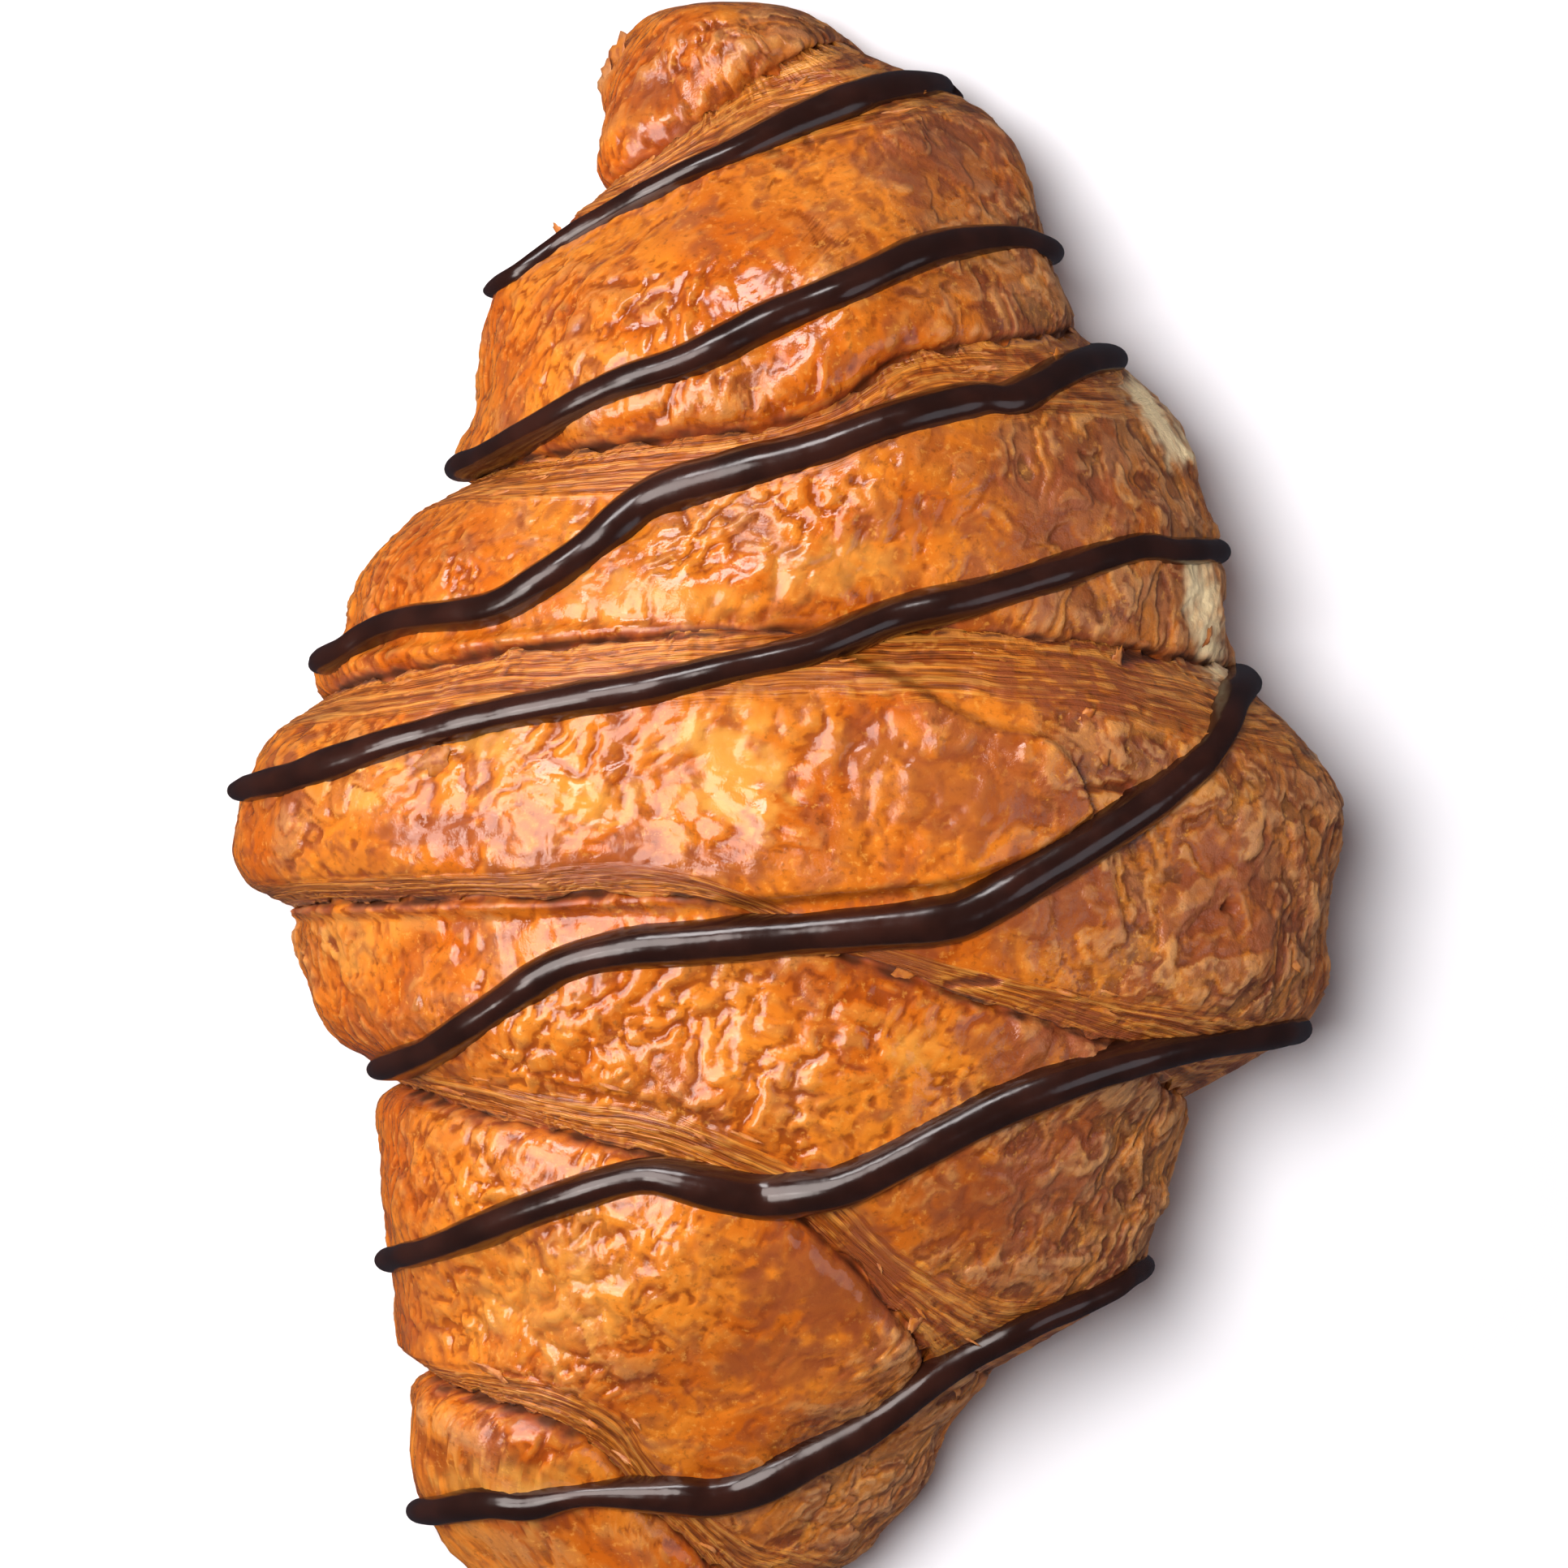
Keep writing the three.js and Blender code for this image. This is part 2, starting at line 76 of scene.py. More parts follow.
# Creases between the seven turns of the roll: (angle, y) along each, to_centre the way that the overlapping
# turn lies, and, for right, top and left, the depth of the crease and the width of its cut, layered edge
CREASES = [
    {"to_centre": -1, "depth": (1.6, 3, 2), "slope": (6, 6.5, 2.5), "line": [
        (0, 71.2), (30, 70.9), (60, 70.2), (90, 68.1), (120, 64.3), (150, 59.6), (180, 57.6), (270, 64.6),
    ]},
    {"to_centre": -1, "depth": (1.3, 3.4, 3.2), "slope": (8.5, 5, 3), "line": [
        (0, 45.6), (30, 44.7), (60, 43.3), (75, 42.1), (90, 37.6), (120, 35.1), (150, 33.7), (180, 31.9),
        (270, 38.8),
    ]},
    {"to_centre": -1, "depth": (1.8, 2, 2), "slope": (9.5, 5.5, 3.5), "line": [
        (0, 15.4), (30, 16.5), (60, 18.2), (90, 18.6), (120, 17.2), (150, 14.9), (180, 13.1), (270, 14.1),
    ]},
    {"to_centre": 1, "depth": (2, 1.6, 2.7), "slope": (6.5, 2.6, 2), "line": [
        (0, -22), (30, -20.2), (47, -17.7), (60, -15.7), (80, -11.6), (90, -8.6), (98, -4.9),
        (120, -4.4), (150, -4.7), (180, -5.5), (270, -13.4),
    ]},
    {"to_centre": 1, "depth": (1.3, 3, 3), "slope": (8, 5.5, 3.5), "line": [
        (0, -46.4), (30, -45.6), (47, -45.1), (56, -43.4), (70, -39.6), (80, -35), (88, -31.3),
        (100, -27.9), (120, -25.1), (150, -22.2), (180, -20.9), (270, -32.8),
    ]},
    {"to_centre": 1, "depth": (1.3, 2.5, 3), "slope": (5, 4.5, 2), "line": [
        (0, -67.5), (45, -66.4), (75, -63.5), (90, -58.5), (100, -54), (115, -50.7), (130, -49),
        (150, -47.9), (180, -46.2), (270, -57.8),
    ]},
]

# The lip at each crease, and the dive in front of it. Less of them and of the creases is left underneath.
LIP_DROP = 0.9
LIP_OVERHANG = 0.5
BASE_STEP = 0.4
DIVE = (3, 4.5, 3)
SLOPE_POWER = 1.15
BAND_LIMIT = 0.42
UNDER_SHARE = 0.3
SIDE_BLEND = 0.6

# Tongue in which the roll ends, lying on the widest turn: its two edges give y against x. Underneath it thins
# out until the sine of the angle round the roll is minus TONGUE_END.
TONGUE_THICKNESS = 1.8
TONGUE_END = 0.6
TONGUE_BEVEL = 1.3
TONGUE_UPPER = [(-50, 17), (10, 15), (16.4, 11.4), (22.8, 9.1), (24.4, 7), (25.6, 4.5), (26.2, 2.3), (30, 2.3)]
TONGUE_LOWER = [(-50, -7), (-5, -5.4), (8, -4.4), (15, -3.4), (22.8, -0.2), (26.2, 2.3), (30, 2.4)]

# Slow unevenness of the crust: height, waves round the roll, waves per mm along it, phase
LUMPS = [(0.35, 5, 0.21, 0.6), (0.3, 3, -0.33, 2.1), (0.25, 8, 0.12, 4)]

# Chocolate lines, which hang down and taper at their ends: (x, y, width) along each, seen from above
LINE_HEIGHT = 1.6
LINE_SINK = 0.42
LINE_FLATNESS = 0.8
LINE_HANG = 8
HANG_SHARE = 0.05
END_TAPER = 0.3
END_TAPER_LENGTH = 5
WOBBLE_SIZE = 5
LINES_APART = 30
WIDENING = 1.12
WIDTH_WOBBLE = 0.1
HEIGHT_WOBBLE = 0.12
USUAL_HALF_WIDTH = 1.5
HEIGHT_SHARES = (0.6, 1.2)
SETTLING_ROUNDS = 5
SETTLING_EVENNESS = 12
LINES = [
    [
        (-26.1, 48.9, 1.6), (-19.4, 53.7, 1.9), (-12.1, 57.6, 2), (-5.1, 60.7, 2.6), (2, 63.9, 3.1),
        (9.2, 66.5, 2.7), (14.5, 67.3, 2.2), (16.2, 66.4, 1.8),
    ],
    [
        (-28.9, 33.1, 1.9), (-23, 36.3, 2.1), (-15.9, 39.9, 2.5), (-8.7, 42.3, 2.9), (-1.5, 45.8, 3),
        (5.6, 48.7, 2.8), (12.8, 51.9, 2.7), (19.9, 53.2, 2.3), (24.4, 52.3, 1.9),
    ],
    [
        (-40.8, 15.9, 2), (-37.3, 18.4, 2.3), (-33.8, 19.7, 2.4), (-26.6, 20.6, 2.6), (-22, 22.8, 2.9),
        (-17, 26.3, 3.3), (-12.3, 30.1, 3.6), (-5.1, 32.3, 3.6), (2, 34.2, 3.3), (9.2, 36.8, 3.1),
        (16.4, 38.6, 3.1), (20, 38.8, 2.9), (25.3, 41.7, 2.4), (30.2, 43.4, 2.2),
    ],
    [
        (-47.7, 4.8, 2), (-40.9, 6.9, 2.9), (-33.8, 9.3, 2.4), (-26.6, 11.2, 2.6), (-19.4, 12.6, 2.6),
        (-12.3, 13.8, 2.7), (-5.1, 15.5, 2.4), (2, 17.1, 2.5), (9.2, 19.9, 2.8), (16.4, 21.6, 2.9),
        (23.5, 23.7, 2.6), (30.7, 26, 2.3), (34.3, 25.8, 2.1), (38.4, 26, 2),
    ],
    [
        (-35.3, -19.7, 2.1), (-29.5, -16.3, 2.4), (-22.3, -11.5, 2.9), (-18.7, -9.7, 3),
        (-13.7, -8.6, 3.2), (-8.7, -8.2, 3.3), (-1.5, -7.6, 3.4), (5.6, -7, 3.5), (12.8, -6.3, 3.6),
        (16.4, -5.2, 3.7), (23.5, -1.2, 3.6), (30.7, 3.2, 3.2), (34.3, 5.8, 2.9), (37.5, 8.8, 2.4),
        (39.3, 12.3, 2.1), (41.2, 15.8, 1.8),
    ],
    [
        (-37, -37, 1.7), (-29.7, -34.3, 2.3), (-23, -31.5, 2.6), (-15.4, -29, 2.7), (-12.1, -28.5, 2.8),
        (-9.6, -28.9, 3.1), (-6.5, -29.6, 3.4), (-3, -30.1, 3.6), (0.6, -29.9, 3.6), (5.6, -28.9, 3.4),
        (13.1, -25.2, 3.3), (20.4, -21.7, 3.4), (27.7, -19.2, 3.1), (35.1, -17.3, 2.8),
        (42.3, -16.3, 2.5), (46.4, -16, 2.2),
    ],
    [
        (-33.3, -59.1, 1.9), (-27.2, -57.6, 2.7), (-23, -57.6, 2.7), (-17.9, -56.8, 1.9),
        (-10.2, -56.7, 3.3), (-6.6, -56.8, 3.5), (-2.9, -55.9, 3.6), (3.8, -52.6, 3.6),
        (8.6, -49.8, 3.4), (13.1, -46.4, 3), (20.4, -42.1, 2.7), (27.7, -39.1, 2.4), (31.6, -36.8, 2),
    ],
]

# Fineness of the meshes, and how their rows crowd towards a lip or an end
UPPER_COLUMNS = 520
UNDER_COLUMNS = 60
UPPER_REACH = 25
SLOPE_ROWS = 20
DIVE_ROWS = 11
DIVE_CROWDING = 1.6
CREST_ROWS = [58, 56, 70, 48, 60]
END_ROWS = 32
END_CROWDING = 1.8
LINE_STATIONS = 260
LINE_SIDES = 24
LINE_BRIDGE = 9
FLAKE_SECTORS = 16

# Zones of the crust, from none to full: by the sine of the angle round the roll, by its cosine, and by y
OVER_SINES = (-0.1, 0.3)
LIP_SINES = (-0.15, 0.35)
CUT_SINES = (-0.35, 0.1)
UNDER_SINES = (0.1, -0.3)
RIGHT_COSINES = (0.15, 0.7)
LOWER_PART = (4, -8)
RUGGED_PART = (22, -2)

# Noise fields by name: seed, size and amount. Below are the seeds of other fields and of random draws.
FIELDS = {
    "swell": (0, 9, 0.5), "fray": (5, 2.5, 0.5), "fine_fray": (6, 1, 0.35), "dry": (7, 7, 0.6),
    "crinkle": (8, 8, 0.3), "sheet": (9, 4.6, 0.5), "layers": (20, 1, 1), "fine_layers": (21, 1, 0.5),
    "waver": (30, 11, 1.6), "fine_waver": (30, 2.6, 0.25), "spots": (33, 4.5, 1), "crease_shade": (34, 2, 0.7),
}
SEEDS = {
    "warp": 10, "tears": 40, "blisters": 80, "dry_cells": 84, "mottling": 90, "wobble": 60, "flake_places": 5,
    "flake_shapes": 6,
}

# Folds of the crust from coarse to fine: height, size and stretch. Each part has a way in degrees and a seed.
# FINER_SHARES is how much a fold carries finer ones: at least, in its valley, and for its height. FOLD_SHARES
# is how much folds show: at least, where crinkled, and on the right.
FOLDS = [(0.7, 3.8, 1.5), (0.42, 1.7, 1.7), (0.17, 0.85, 2)]
FOLD_PARTS = {"upper": (68, 50), "lower": (42, 60), "right": (95, 70)}
FOLD_LEVEL = 0.45
FOLD_VALLEY = 0.004
FINER_SHARES = (0.4, 0.6, 1.5)
FOLD_SHARES = (0.3, 0.5, 0.08)
CALM_RIGHT = 0.35

# Blisters and the cells of the dry crust: height and size. SPOTS is what is left between spots of blisters, and
# how soft the spots are.
BLISTERS = [(0.5, 3.3), (0.3, 1.5)]
BLISTER_LEVEL = 0.5
BLISTER_WAY = 60
BLISTER_STRETCH = 1.5
SPOTS = (0.3, 0.3)
DRY_CELLS = (0.18, 1.3)

# Thin sheets of crust on each other: height and number of their steps, width of a riser, change of tone
SHEET_HEIGHT = 1.3
SHEET_STEPS = 5
SHEET_RISER = 0.25
SHEET_TONE = 0.6

# Amounts outside the patches, and how far fine relief is bent to and fro: reach and size
CRINKLE_LEAST = 0.15
CRINKLE_BESIDE = 0.5
LOOSE_LEAST = 0.15
WARP = [(1.8, 5), (0.6, 1.7)]

# Baked layers in the cut edges. CUT_SHOWN is how much of each edge shows them on the right, the top and the
# left, and CUT_CALM how far other relief is left out there.
LAYERS = 13
LAYERS_APART = 20
LAYER_HEIGHT = 0.55
LAYER_RUN = 20
FINE_LAYERS = (2.3, 1.5, 1.5)
FINE_LAYERS_APART = 7
CUT_FADE = 0.72
CUT_REACH = 1.2
CUT_CALM = 0.8
CUT_SHOWN = [(1, 1, 1), (1, 1, 1), (1, 1, 1), (1, 0.85, 0.8), (1, 0.7, 0.6), (1, 0.8, 0.8)]

# Painted shade in the gaps at the creases: widths on the cut edge and in front of it, and the amount at each
# crease
CREASE_SHADE_WIDTHS = (0.25, 0.9)
CREASE_SHADE_AMOUNTS = [0.5, 1, 1, 1, 1, 1]
CREASE_SHADE_LEVEL = 0.8
CREASE_SHADE_RANGE = (0.15, 1.1)
BESIDE_WIDTH = 3.5

# Ragged tears of the layered edges: height and size, read round a cylinder
RAGGED = [(0.9, 4.5), (0.22, 1.2)]
TEAR_RADIUS = 40
TEARS_APART = 100

# Relief fades out near the ground. Hollows lie below the relief evened out: times and depth.
# Hollows get painted shade in the crust's colour, and the ridges between them painted light.
FLAT_BELOW = 8
HOLLOW_REACHES = [(8, 0.17), (32, 0.45)]

# Patches of the crust seen from above: x, y, half length, half width, amount. They fade out over PATCH_RIM.
# Light and dark patches: partly the crust's browning, partly painted light on the left and painted shade on the
# right.
PATCH_RIM = (0.4, 1.25)
LIGHT_PATCHES = [
    (-4.8, 7, 5.5, 5.5, 0.9), (4.9, 24.5, 10, 3, 0.5), (-15, 21.7, 8, 3, 0.5), (-38.8, -7.7, 4, 4, 0.3),
    (11.3, -17.7, 3, 2.5, 0.6), (-21, -40, 9, 6, 0.5), (-25, -56, 8, 4, 0.6), (-36, 6, 4, 3, 0.5),
    (-17, 4, 4, 2.5, 0.6), (-26, 9.5, 3.5, 2, 0.6), (-8, 21.5, 6, 2, 0.5), (-30, 21, 4, 3, 0.5),
]
DARK_PATCHES = [
    (23.5, 29.5, 7, 4.5, 1), (10.6, 28.8, 6, 2.5, 0.6), (12.8, 60.3, 8, 4, 0.8), (6.3, 8.5, 6, 3.5, 0.7),
    (-14, -1.5, 16, 1.8, 0.8), (-30, 1.5, 10, 1.6, 0.9), (-37, -1, 5, 3, 0.5), (-15, 9, 1.5, 3.5, 0.7),
    (38, -5, 7, 7, 0.9), (25, 14.5, 10, 3, 0.7), (22.8, -4.8, 6, 4, 1), (9.2, -9.8, 6, 3, 0.8),
    (20, -30.6, 8, 5, 0.9), (4, -38, 9, 6, 1), (0, -45, 8, 4, 0.8), (-33, -42, 4, 5, 0.6),
    (-12, 66, 5, 4, 0.5), (5, 35, 12, 2.5, 0.5), (-24, -52, 6, 3, 0.5), (16, 5, 10, 6, 0.8),
    (-29, 25, 6, 5, 0.3), (18, 24, 9, 3, 0.6), (22, -17, 9, 4, 0.8), (-44, 7, 3, 4, 0.7),
]
CRINKLED_PATCHES = [
    (-16, 47, 9, 5, 1), (-12, 40.5, 12, 3.5, 0.7), (-3, 27.5, 13, 5, 0.8), (-33, 24, 7, 5, 0.8),
    (-22, 8, 9, 7, 0.6), (5, 8, 5, 4, 0.7), (-8, -18, 19, 9, 1), (-21, -41, 12, 10, 1), (-29, -28, 8, 5, 0.7),
    (-28, -54, 8, 4, 0.6), (-6, 67, 12, 7, 0.9),
]
LOOSE_PATCHES = [
    (-40, 6, 7, 7, 0.9), (-37, 24, 5, 5, 0.6), (-38, -12, 5, 5, 0.5), (24, 29, 9, 5, 0.7), (26, 8, 6, 4, 0.8),
    (-27, -60, 6, 4, 0.5), (-26, 40, 4, 6, 0.5), (-6, 3, 9, 4, 0.4), (1, 67, 11, 6, 0.7),
]
DRY_PATCHES = [(-1, 68, 14, 8, 0.45), (-43, -2, 3, 12, 0.3), (-29, -52, 8, 3, 0.3)]
# HOLES are dented by HOLE_DEPTH and also darkened with painted shade
HOLES = [
    (30.2, 16.6, 2.2, 0.8, 1), (38.4, -5.2, 0.7, 0.5, 0.8), (16, -11.6, 2.4, 0.5, 0.7),
    (27.6, 5.2, 2.6, 0.5, 0.8),
]
HOLE_DEPTH = 0.9

# Strips of pale dough on the right side, as (x, y) along each, between two heights
PALE_STRIPS = [
    [(30.2, 40.5), (32.6, 37.2), (34.6, 34.4)], [(35.6, 24.5), (36.2, 20), (37.4, 15.5)],
    [(44.2, 12.8), (47, 9)],
]
PALE_WIDTH = 1.7
PALE_FRAY = 1.6
PALE_HEIGHTS = (12, 19)

# Mottling of the crust: size of its largest patches and number of octaves, and the spread of its values
MOTTLING = {"patches": (13, 3), "mottle": (3.6, 3), "blotches": (1.5, 2), "parching": (4.5, 3)}
MOTTLE_FALLOFF = 0.6
MOTTLE_SPREAD = 0.1

# Loose flakes seen from above: x, y, length, width, heading in degrees, lift in degrees
FLAKES = [
    (-15.3, 70.4, 3.2, 2, 70, 0), (-16.3, 68.4, 2.6, 1.5, 82, 3), (-20.4, 54.2, 1.8, 0.9, 120, 20),
    (-29.4, 7.6, 3.2, 2.2, 210, 10), (29.4, 16.2, 2.4, 1, 95, 22), (27, 8.8, 3.6, 1.6, 250, 9),
    (3.6, 35.4, 3, 1.2, 10, 12), (13.4, 37.6, 3.2, 1.4, 200, 10), (12, -41, 3, 1, 235, 12),
    (16, -44, 3, 1, 225, 10), (4, -8.7, 3, 1.2, 200, 10), (10, -11, 3, 1.2, 205, 10),
]

# Scattered flakes of each layered edge, and of the dry crust. share is the place across the edge, step the
# angle that shows the edge's way, and stray how far a flake strays from that way.
CREASE_FLAKES = {
    "count": 14, "angle": (38, 145), "share": (0.05, 1), "step": 3, "stray": 9, "length": (1.4, 4),
    "slimness": (0.1, 0.2), "lift": (2, 9),
}
DRY_FLAKES = {
    "count": 5, "angle": (8, 62), "y": (-50, 50), "length": (0.9, 2.6), "slimness": (0.4, 0.7),
    "lift": (3, 20),
}

# Shape of a flake, with its rings from the top over the rim to the underside: share of the outline, height
FLAKE_RINGS = [(0.5, 0.045), (1, 0.025), (1, -0.025), (0.5, -0.045)]
FLAKE_UPTURN = 0.7
FLAKE_BREAKS = (0.22, 1.6)
FLAKE_CURLS = (-0.12, 0.2)
FLAKE_CROSS_CURL = 1.5
FLAKE_ROOT = 0.35

# Colours of the crust, its baked layers and the chocolate, as red, green and blue from 0 to 255
GOLD = (222, 126, 34)
ORANGE = (196, 94, 16)
BROWN = (146, 72, 36)
RUST = (136, 52, 8)
DARK_BROWN = (78, 38, 16)
STRAW = (236, 164, 70)
CREAM = (255, 226, 172)
# The dry colours and OCHRE paint the dry crust, darker on the right side partly as painted shade
DRY_TAN = (186, 122, 70)
DRY_BROWN = (116, 62, 36)
DRY_LIGHT = (222, 166, 108)
OCHRE = (186, 108, 32)
LAYER_LIGHT = (218, 128, 38)
LAYER_DARK = (150, 72, 14)
CHOCOLATE_DARK = (36, 16, 10)
CHOCOLATE_BROWN = (52, 25, 17)
FLOOR_WHITE = (246, 246, 248)
FLOOR_SHADE = (243, 243, 246)

# Strength of the reflections
CRUST_GLOSS = 0.8
CHOCOLATE_GLOSS = 0.85

# View from straight above, framed as the photograph is
VIEW_WIDTH = 138.3
VIEW_CENTRE = (-0.4, 5.5, 22)
VIEW_DISTANCE = 1500
SENSOR = 36
CLIP_END = 10000
FLOOR_REACH = 3000

# Lights from the left and from above: place and size in metres, watts, colour
KEY_LIGHT = ((-0.81, 0.34, 0.5), (1.2, 0.6), 8, (1, 0.96, 0.93))
TOP_LIGHT = ((-0.2, 0.09, 1.2), (0.42, 0.46), 16.6, (1, 0.98, 0.99))
FILL_LIGHT = ((0.9, -0.2, 0.6), (0.8, 0.8), 1.1, (0.86, 0.9, 1))
GLOSS_LIGHTS = [
    ((-0.54, 0.2, 0.82), (0.8, 0.84), 7.6, (1, 0.9, 0.86)),
    ((-0.62, -0.32, 0.72), (0.5, 0.5), 3.2, (1, 0.92, 0.87)),
    ((-0.25, 0.75, 0.65), (0.5, 0.3), 3, (1, 0.95, 0.95)),
]
SKY = ((0.84, 0.8, 1, 1), 0.045)


def smooth_curve(points):
    """A smooth curve through (t, value) pairs in rising t, level beyond its ends."""
    t, v = np.array(points, float).T
    rise = np.diff(v) / np.diff(t)
    before, after = np.diff(t)[:-1], np.diff(t)[1:]
    inner = (rise[:-1] * after + rise[1:] * before) / (before + after)
    tangent = np.concatenate([rise[:1], inner, rise[-1:]])

    def value(at):
        at = np.clip(at, t[0], t[-1])
        i = np.clip(np.searchsorted(t, at, side="right") - 1, 0, len(t) - 2)
        span = t[i + 1] - t[i]
        u = (at - t[i]) / span
        blend = u * u * (3 - 2 * u)
        leave = tangent[i] * span * u * (1 - u) ** 2
        arrive = tangent[i + 1] * span * u * u * (u - 1)
        return v[i] * (1 - blend) + v[i + 1] * blend + leave + arrive

    return value


left_edge = smooth_curve(LEFT_EDGE)
right_edge = smooth_curve(RIGHT_EDGE)
ridge = smooth_curve(RIDGE)
underside = smooth_curve(UNDERSIDE)
tongue_upper = smooth_curve(TONGUE_UPPER)
tongue_lower = smooth_curve(TONGUE_LOWER)
crease_lines = [smooth_curve([(-90, c["line"][-1][1])] + c["line"]) for c in CREASES]


def smoothstep(x, low, high):
    u = np.clip((x - low) / (high - low), 0, 1)
    return u * u * (3 - 2 * u)


def power(value, exponent):
    return np.sign(value) * np.abs(value) ** exponent


def circle(degrees):
    """Cosine and sine of an angle in degrees."""
    return np.cos(np.radians(degrees)), np.sin(np.radians(degrees))


def unit(vectors):
    return vectors / np.linalg.norm(vectors, axis=-1, keepdims=True)


def section(y):
    """The plain section at y: middle, half width, waist height, rise above it and drop below it."""
    q = np.clip((np.abs(y) - HALF_LENGTH + END_ROUNDING) / END_ROUNDING, 0, 1)
    closing = (1 - q**END_POWER) ** (1 / END_POWER)
    waist = WAIST_SHARE * ridge(y)
    middle = (left_edge(y) + right_edge(y)) / 2
    half_width = (right_edge(y) - left_edge(y)) / 2 * closing
    return middle, half_width, waist, (ridge(y) - waist) * closing, (waist - underside(y)) * closing


def around_roll(angle, right, top, left):
    """Value at an angle from values for the right side, the ridge and the left side, less underneath."""
    across, up = circle(angle)
    side = left + (right - left) * smoothstep(across, -SIDE_BLEND, SIDE_BLEND)
    over = side + (top - side) * up**2
    under = side + (side * UNDER_SHARE - side) * up**2
    return np.where(up > 0, over, under)


def creases_at(angle):
    """y, depth, width of the cut edge and width of the dive beside each crease, at an array of angles."""
    wrapped = np.where(angle > 270, angle - 360, angle)
    ys = [line(wrapped) for line in crease_lines]
    limits = [np.full_like(wrapped, HALF_LENGTH), *ys, np.full_like(wrapped, -HALF_LENGTH)]
    found = []
    for i, crease in enumerate(CREASES):
        above = BAND_LIMIT * (limits[i] - limits[i + 1])
        below = BAND_LIMIT * (limits[i + 1] - limits[i + 2])
        inner, outer = (above, below) if crease["to_centre"] > 0 else (below, above)
        slope = np.minimum(around_roll(wrapped, *crease["slope"]), inner)
        dive = np.minimum(around_roll(wrapped, *DIVE), outer)
        found.append((ys[i], around_roll(wrapped, *crease["depth"]), slope, dive))
    return found


def relief(angle, y, x, bank=None):
    """How far the crust lies out from the plain section. bank is (crease, side) for rows on a crease."""
    out = np.zeros(np.broadcast(angle, y).shape)
    for i, (crease_y, depth, slope, dive) in enumerate(creases_at(angle)):
        t = (y - crease_y) * CREASES[i]["to_centre"]
        inner, reach = t >= 0, np.abs(t)
        if bank is not None and bank[0] == i:
            inner, reach = np.full(t.shape, bank[1] > 0), np.maximum(0, bank[1] * t)
        cut = depth * np.clip(1 - reach / slope, 0, 1) ** SLOPE_POWER
        u = np.clip(1 - reach / dive, 0, 1)
        dip = (depth + LIP_DROP) * (1 - np.sqrt(1 - u * u))
        out = out - np.where(inner, cut, dip)
    inside = np.minimum(tongue_upper(x) - y, y - tongue_lower(x))
    over = smoothstep(circle(angle)[1], -TONGUE_END, 0)
    out = out + over * TONGUE_THICKNESS * smoothstep(inside, 0, TONGUE_BEVEL)
    for height, around, along, phase in LUMPS:
        out = out + height * np.sin(around * np.radians(angle) + along * y + phase)
    return out


def plain_point(angle, y):
    """Points on the plain section, the directions out of it, and how far relief counts towards the ends."""
    middle, half_width, waist, rise, drop = section(y)
    across, up = circle(angle)
    exponent = 2 / np.where(up > 0, UPPER_POWER, LOWER_POWER)
    half = np.where(up > 0, rise, drop)
    x = middle + half_width * power(across, exponent)
    z = waist + half * power(up, exponent)
    out = np.stack([across / np.maximum(half_width, 1), np.zeros_like(x), up / np.maximum(half, 1)], -1)
    return np.stack([x, y + 0 * x, z], -1), unit(out), np.minimum(1, half_width / END_ROUNDING)


def crust_point(angle, y, bank=None):
    """Points on the crust without its fine relief, and the directions out of it."""
    point, out, fade = plain_point(angle, y)
    point = point + out * (relief(angle, y, point[..., 0], bank) * fade)[..., None]
    point[..., 2] = np.maximum(0, point[..., 2])
    return point, out


def lattice_keys(order, at):
    """A fixed random number from 0 to 255 for each point of the whole-number lattice."""
    return order[(order[(order[at[..., 0] & 255] + at[..., 1]) & 255] + at[..., 2]) & 255]


class Noise:
    """Smooth gradient noise in three dimensions, about -1 to 1, with features of size 1."""

    GAIN = 1.7

    def __init__(self, seed):
        rng = np.random.default_rng(seed)
        self.order = rng.permutation(256)
        self.gradients = unit(rng.normal(size=(256, 3)))

    def __call__(self, points):
        cell = np.floor(points).astype(int)
        local = points - cell
        fade = local**3 * (local * (local * 6 - 15) + 10)
        total = 0
        for corner in itertools.product((0, 1), repeat=3):
            key = lattice_keys(self.order, cell + corner)
            weight = np.prod(np.where(corner, fade, 1 - fade), axis=-1)
            total = total + weight * np.sum(self.gradients[key] * (local - corner), axis=-1)
        return total * self.GAIN


class Cells:
    """Rounded cells of size 1 in three dimensions: 0 in the creases between them and 1 in their middles."""

    MARGIN = 0.05
    ROUNDING = 0.5

    def __init__(self, seed):
        rng = np.random.default_rng(seed)
        self.order = rng.permutation(256)
        self.place = rng.uniform(self.MARGIN, 1 - self.MARGIN, (256, 3))

    def __call__(self, points):
        home = np.floor(points).astype(int)
        around = itertools.product((-1, 0, 1), repeat=3)
        places = [home + step + self.place[lattice_keys(self.order, home + step)] - points for step in around]
        centres = np.array(places, np.float32)
        nearest = np.linalg.norm(centres, axis=-1).argmin(0)
        own = np.take_along_axis(centres, nearest[None, ..., None], 0)
        apart = centres - own
        distance = np.linalg.norm(apart, axis=-1)
        same = distance == 0
        distance[same] = 1
        to_crease = np.sum((centres + own) * apart, -1) / (2 * distance)
        to_crease[same] = 1
        return 1 - (1 - np.clip(to_crease.min(0) / self.ROUNDING, 0, 1)) ** 2


def field(name, points):
    """The noise field of that name at points in mm."""
    seed, size, amount = FIELDS[name]
    return amount * Noise(seed)(points / size)


def add_object(name, data):
    made = bpy.data.objects.new(name, data)
    bpy.context.scene.collection.objects.link(made)
    return made


